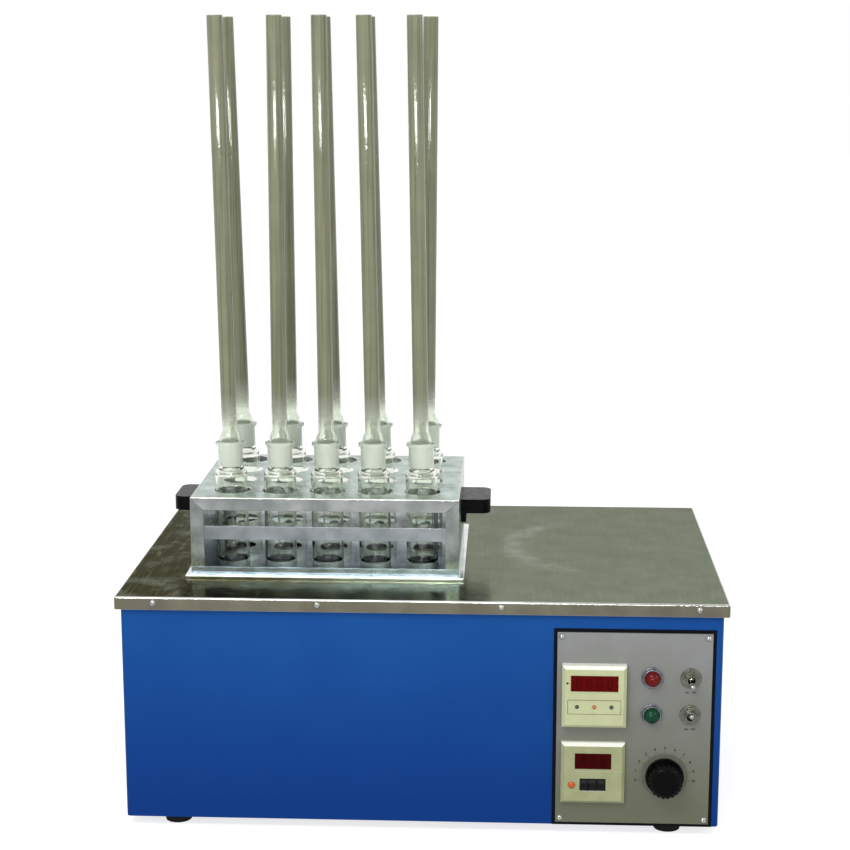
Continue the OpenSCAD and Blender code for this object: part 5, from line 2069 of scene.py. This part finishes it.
@dataclass
class Studio:
    """Camera, lamps, floor and white surroundings.

    Attributes:
        camera_at: Place of the camera, in metres.
        camera_tilt: Tilt up from straight down, in degrees.
        camera_turn: Turn to the left, in degrees.
        lens_mm: Focal length.
        sensor_mm: Width of the sensor.
        fill: Light of the surroundings on matt surfaces.
        floor_glow: What the floor's own white adds for the camera.
        paper: The floor's colour, sRGB hex.
        floor_reach: Half the floor's width, in metres.
        world_fade: Directions in depth between which reflections take on the white surroundings.
        floor_fade: Depths on the floor between which reflections take on its white, in metres.
        bounces: How often a ray may bounce, for the glass.
        lamps: Each lamp's name, place, aim, width and height in metres, and power in watts.
    """

    camera_at: Point = (0.099264, -2.221378, 0.877302)
    camera_tilt: float = 78.652
    camera_turn: float = 2.681
    lens_mm: float = 78.945
    sensor_mm: float = 36.0
    fill: float = 0.62
    floor_glow: float = 0.72
    paper: str = "c4c4c4"
    floor_reach: float = 14.0
    world_fade: tuple[float, float] = (-0.3, 0.2)
    floor_fade: tuple[float, float] = (-0.5, 0.1)
    bounces: int = 24
    lamps: list[tuple[str, Point, Point, tuple[float, float], float]] = field(
        default_factory=lambda: [
            ("key_softbox", (-0.7, -1.9, 2.4), (0.0, 0.0, 0.3), (1.6, 1.2), 30.0),
            ("side_softbox", (2.2, -1.4, 1.6), (0.0, 0.0, 0.3), (1.2, 1.2), 8.0),
            ("glint_strip_low", (-0.15, -2.3, 0.70), (-0.1, 0.0, 0.72), (1.4, 0.03), 7.0),
            ("glint_strip_high", (-0.15, -2.3, 0.75), (-0.1, 0.0, 0.78), (1.4, 0.03), 7.0),
        ]
    )

    def camera(self) -> None:
        """Set the photograph's camera."""
        data = bpy.data.cameras.new("camera")
        data.lens = self.lens_mm
        data.sensor_width = self.sensor_mm
        data.clip_start, data.clip_end = 0.05, 100.0
        camera = bpy.data.objects.new("camera", data)
        camera.location = self.camera_at
        camera.rotation_euler = (math.radians(self.camera_tilt), 0.0, math.radians(self.camera_turn))
        bpy.context.scene.collection.objects.link(camera)
        bpy.context.scene.camera = camera

    def shown_share(self, tree: bpy.types.NodeTree, depth: Socket, near: float, far: float) -> Socket:
        """Say how much of the white background a ray is shown.

        Args:
            tree: The tree of the world or the floor.
            depth: How far back the ray goes or lands.
            near: Depth at which a reflection shows none of it.
            far: Depth from which a reflection shows all of it.

        Returns:
            A socket that gives 1 to the camera and through glass, and to reflections what lies behind.
        """
        path = add_node(tree, "ShaderNodeLightPath")
        behind = add_node(
            tree,
            "ShaderNodeMapRange",
            {"Value": depth, "From Min": near, "From Max": far},
            interpolation_type="SMOOTHSTEP",
        )
        mirrored = add_node(
            tree,
            "ShaderNodeMath",
            {0: path.outputs["Is Glossy Ray"], 1: behind.outputs["Result"]},
            operation="MULTIPLY",
        )
        direct = add_node(
            tree,
            "ShaderNodeMath",
            {0: path.outputs["Is Camera Ray"], 1: path.outputs["Is Transmission Ray"]},
            operation="MAXIMUM",
        )
        both = add_node(tree, "ShaderNodeMath", {0: direct.outputs[0], 1: mirrored.outputs[0]}, operation="MAXIMUM")
        return both.outputs[0]

    def surroundings(self) -> None:
        """Make the world white behind the object, and plain grey light elsewhere."""
        world = bpy.data.worlds.new("surroundings")
        world.use_nodes = True
        tree = world.node_tree
        tree.nodes.clear()
        way = add_node(tree, "ShaderNodeTexCoord").outputs["Generated"]
        depth = add_node(tree, "ShaderNodeSeparateXYZ", {"Vector": way}).outputs["Y"]
        shown = self.shown_share(tree, depth, *self.world_fade)
        light = add_node(tree, "ShaderNodeBackground", {"Color": linear("ffffff"), "Strength": self.fill})
        white = add_node(tree, "ShaderNodeBackground", {"Color": linear("ffffff"), "Strength": 1.0})
        mixed = add_node(tree, "ShaderNodeMixShader", {0: shown, 1: light.outputs[0], 2: white.outputs[0]})
        add_node(tree, "ShaderNodeOutputWorld", {"Surface": mixed.outputs[0]})
        bpy.context.scene.world = world

    def floor(self) -> None:
        """Lay a white floor that keeps the object's shadow."""
        mesh = bpy.data.meshes.new("floor")
        reach = self.floor_reach
        mesh.from_pydata(
            [(-reach, -reach, 0), (reach, -reach, 0), (reach, reach, 0), (-reach, reach, 0)], [], [(0, 1, 2, 3)]
        )
        floor = bpy.data.objects.new("floor", mesh)
        bpy.context.scene.collection.objects.link(floor)
        material = bpy.data.materials.new("white_paper_sweep")
        material.use_nodes = True
        tree = material.node_tree
        tree.nodes.clear()
        place = add_node(tree, "ShaderNodeTexCoord").outputs["Object"]
        depth = add_node(tree, "ShaderNodeSeparateXYZ", {"Vector": place}).outputs["Y"]
        shown = self.shown_share(tree, depth, *self.floor_fade)
        paper = add_node(tree, "ShaderNodeBsdfDiffuse", {"Color": linear(self.paper)})
        glow = add_node(tree, "ShaderNodeEmission", {"Color": linear("ffffff"), "Strength": self.floor_glow})
        lit = add_node(tree, "ShaderNodeAddShader", {0: paper.outputs[0], 1: glow.outputs[0]})
        mixed = add_node(tree, "ShaderNodeMixShader", {0: shown, 1: paper.outputs[0], 2: lit.outputs[0]})
        add_node(tree, "ShaderNodeOutputMaterial", {"Surface": mixed.outputs[0]})
        mesh.materials.append(material)
        floor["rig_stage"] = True

    def light(self) -> None:
        """Hang the softboxes, and the two strips that glint in the glass."""
        for name, at, towards, size, power in self.lamps:
            data = bpy.data.lights.new(name, "AREA")
            data.shape = "RECTANGLE"
            data.size, data.size_y = size
            data.energy = power
            lamp = bpy.data.objects.new(name, data)
            lamp.location = at
            lamp.rotation_euler = (Vector(towards) - Vector(at)).to_track_quat("-Z", "Y").to_euler()
            bpy.context.scene.collection.objects.link(lamp)

    def build(self) -> None:
        """Build the studio."""
        self.camera()
        self.surroundings()
        self.floor()
        self.light()
        scene = bpy.context.scene
        scene.view_settings.view_transform = "Standard"
        scene.cycles.max_bounces = self.bounces
        scene.cycles.transmission_bounces = self.bounces
        scene.cycles.transparent_max_bounces = self.bounces


def corners() -> list[list[float]]:
    """Give the shown object's box as plain lists."""
    return [[round(c, 6) for c in corner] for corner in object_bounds()]


def main() -> None:
    """Load the frame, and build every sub-assembly in order."""
    logging.basicConfig(level=logging.INFO, format="%(name)s: %(message)s")
    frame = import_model()
    Studio().build()
    for assembly in (
        Case(frame),
        BlockUnit(frame),
        Rack(frame),
        Glassware(frame),
        Panel(frame),
        Meters(frame),
        LampsAndSwitches(frame),
        Knob(frame),
    ):
        assembly.build()
        assembly.dress()
        LOG.info("%s is finished", type(assembly).__name__)


if __name__ == "__main__":
    main()
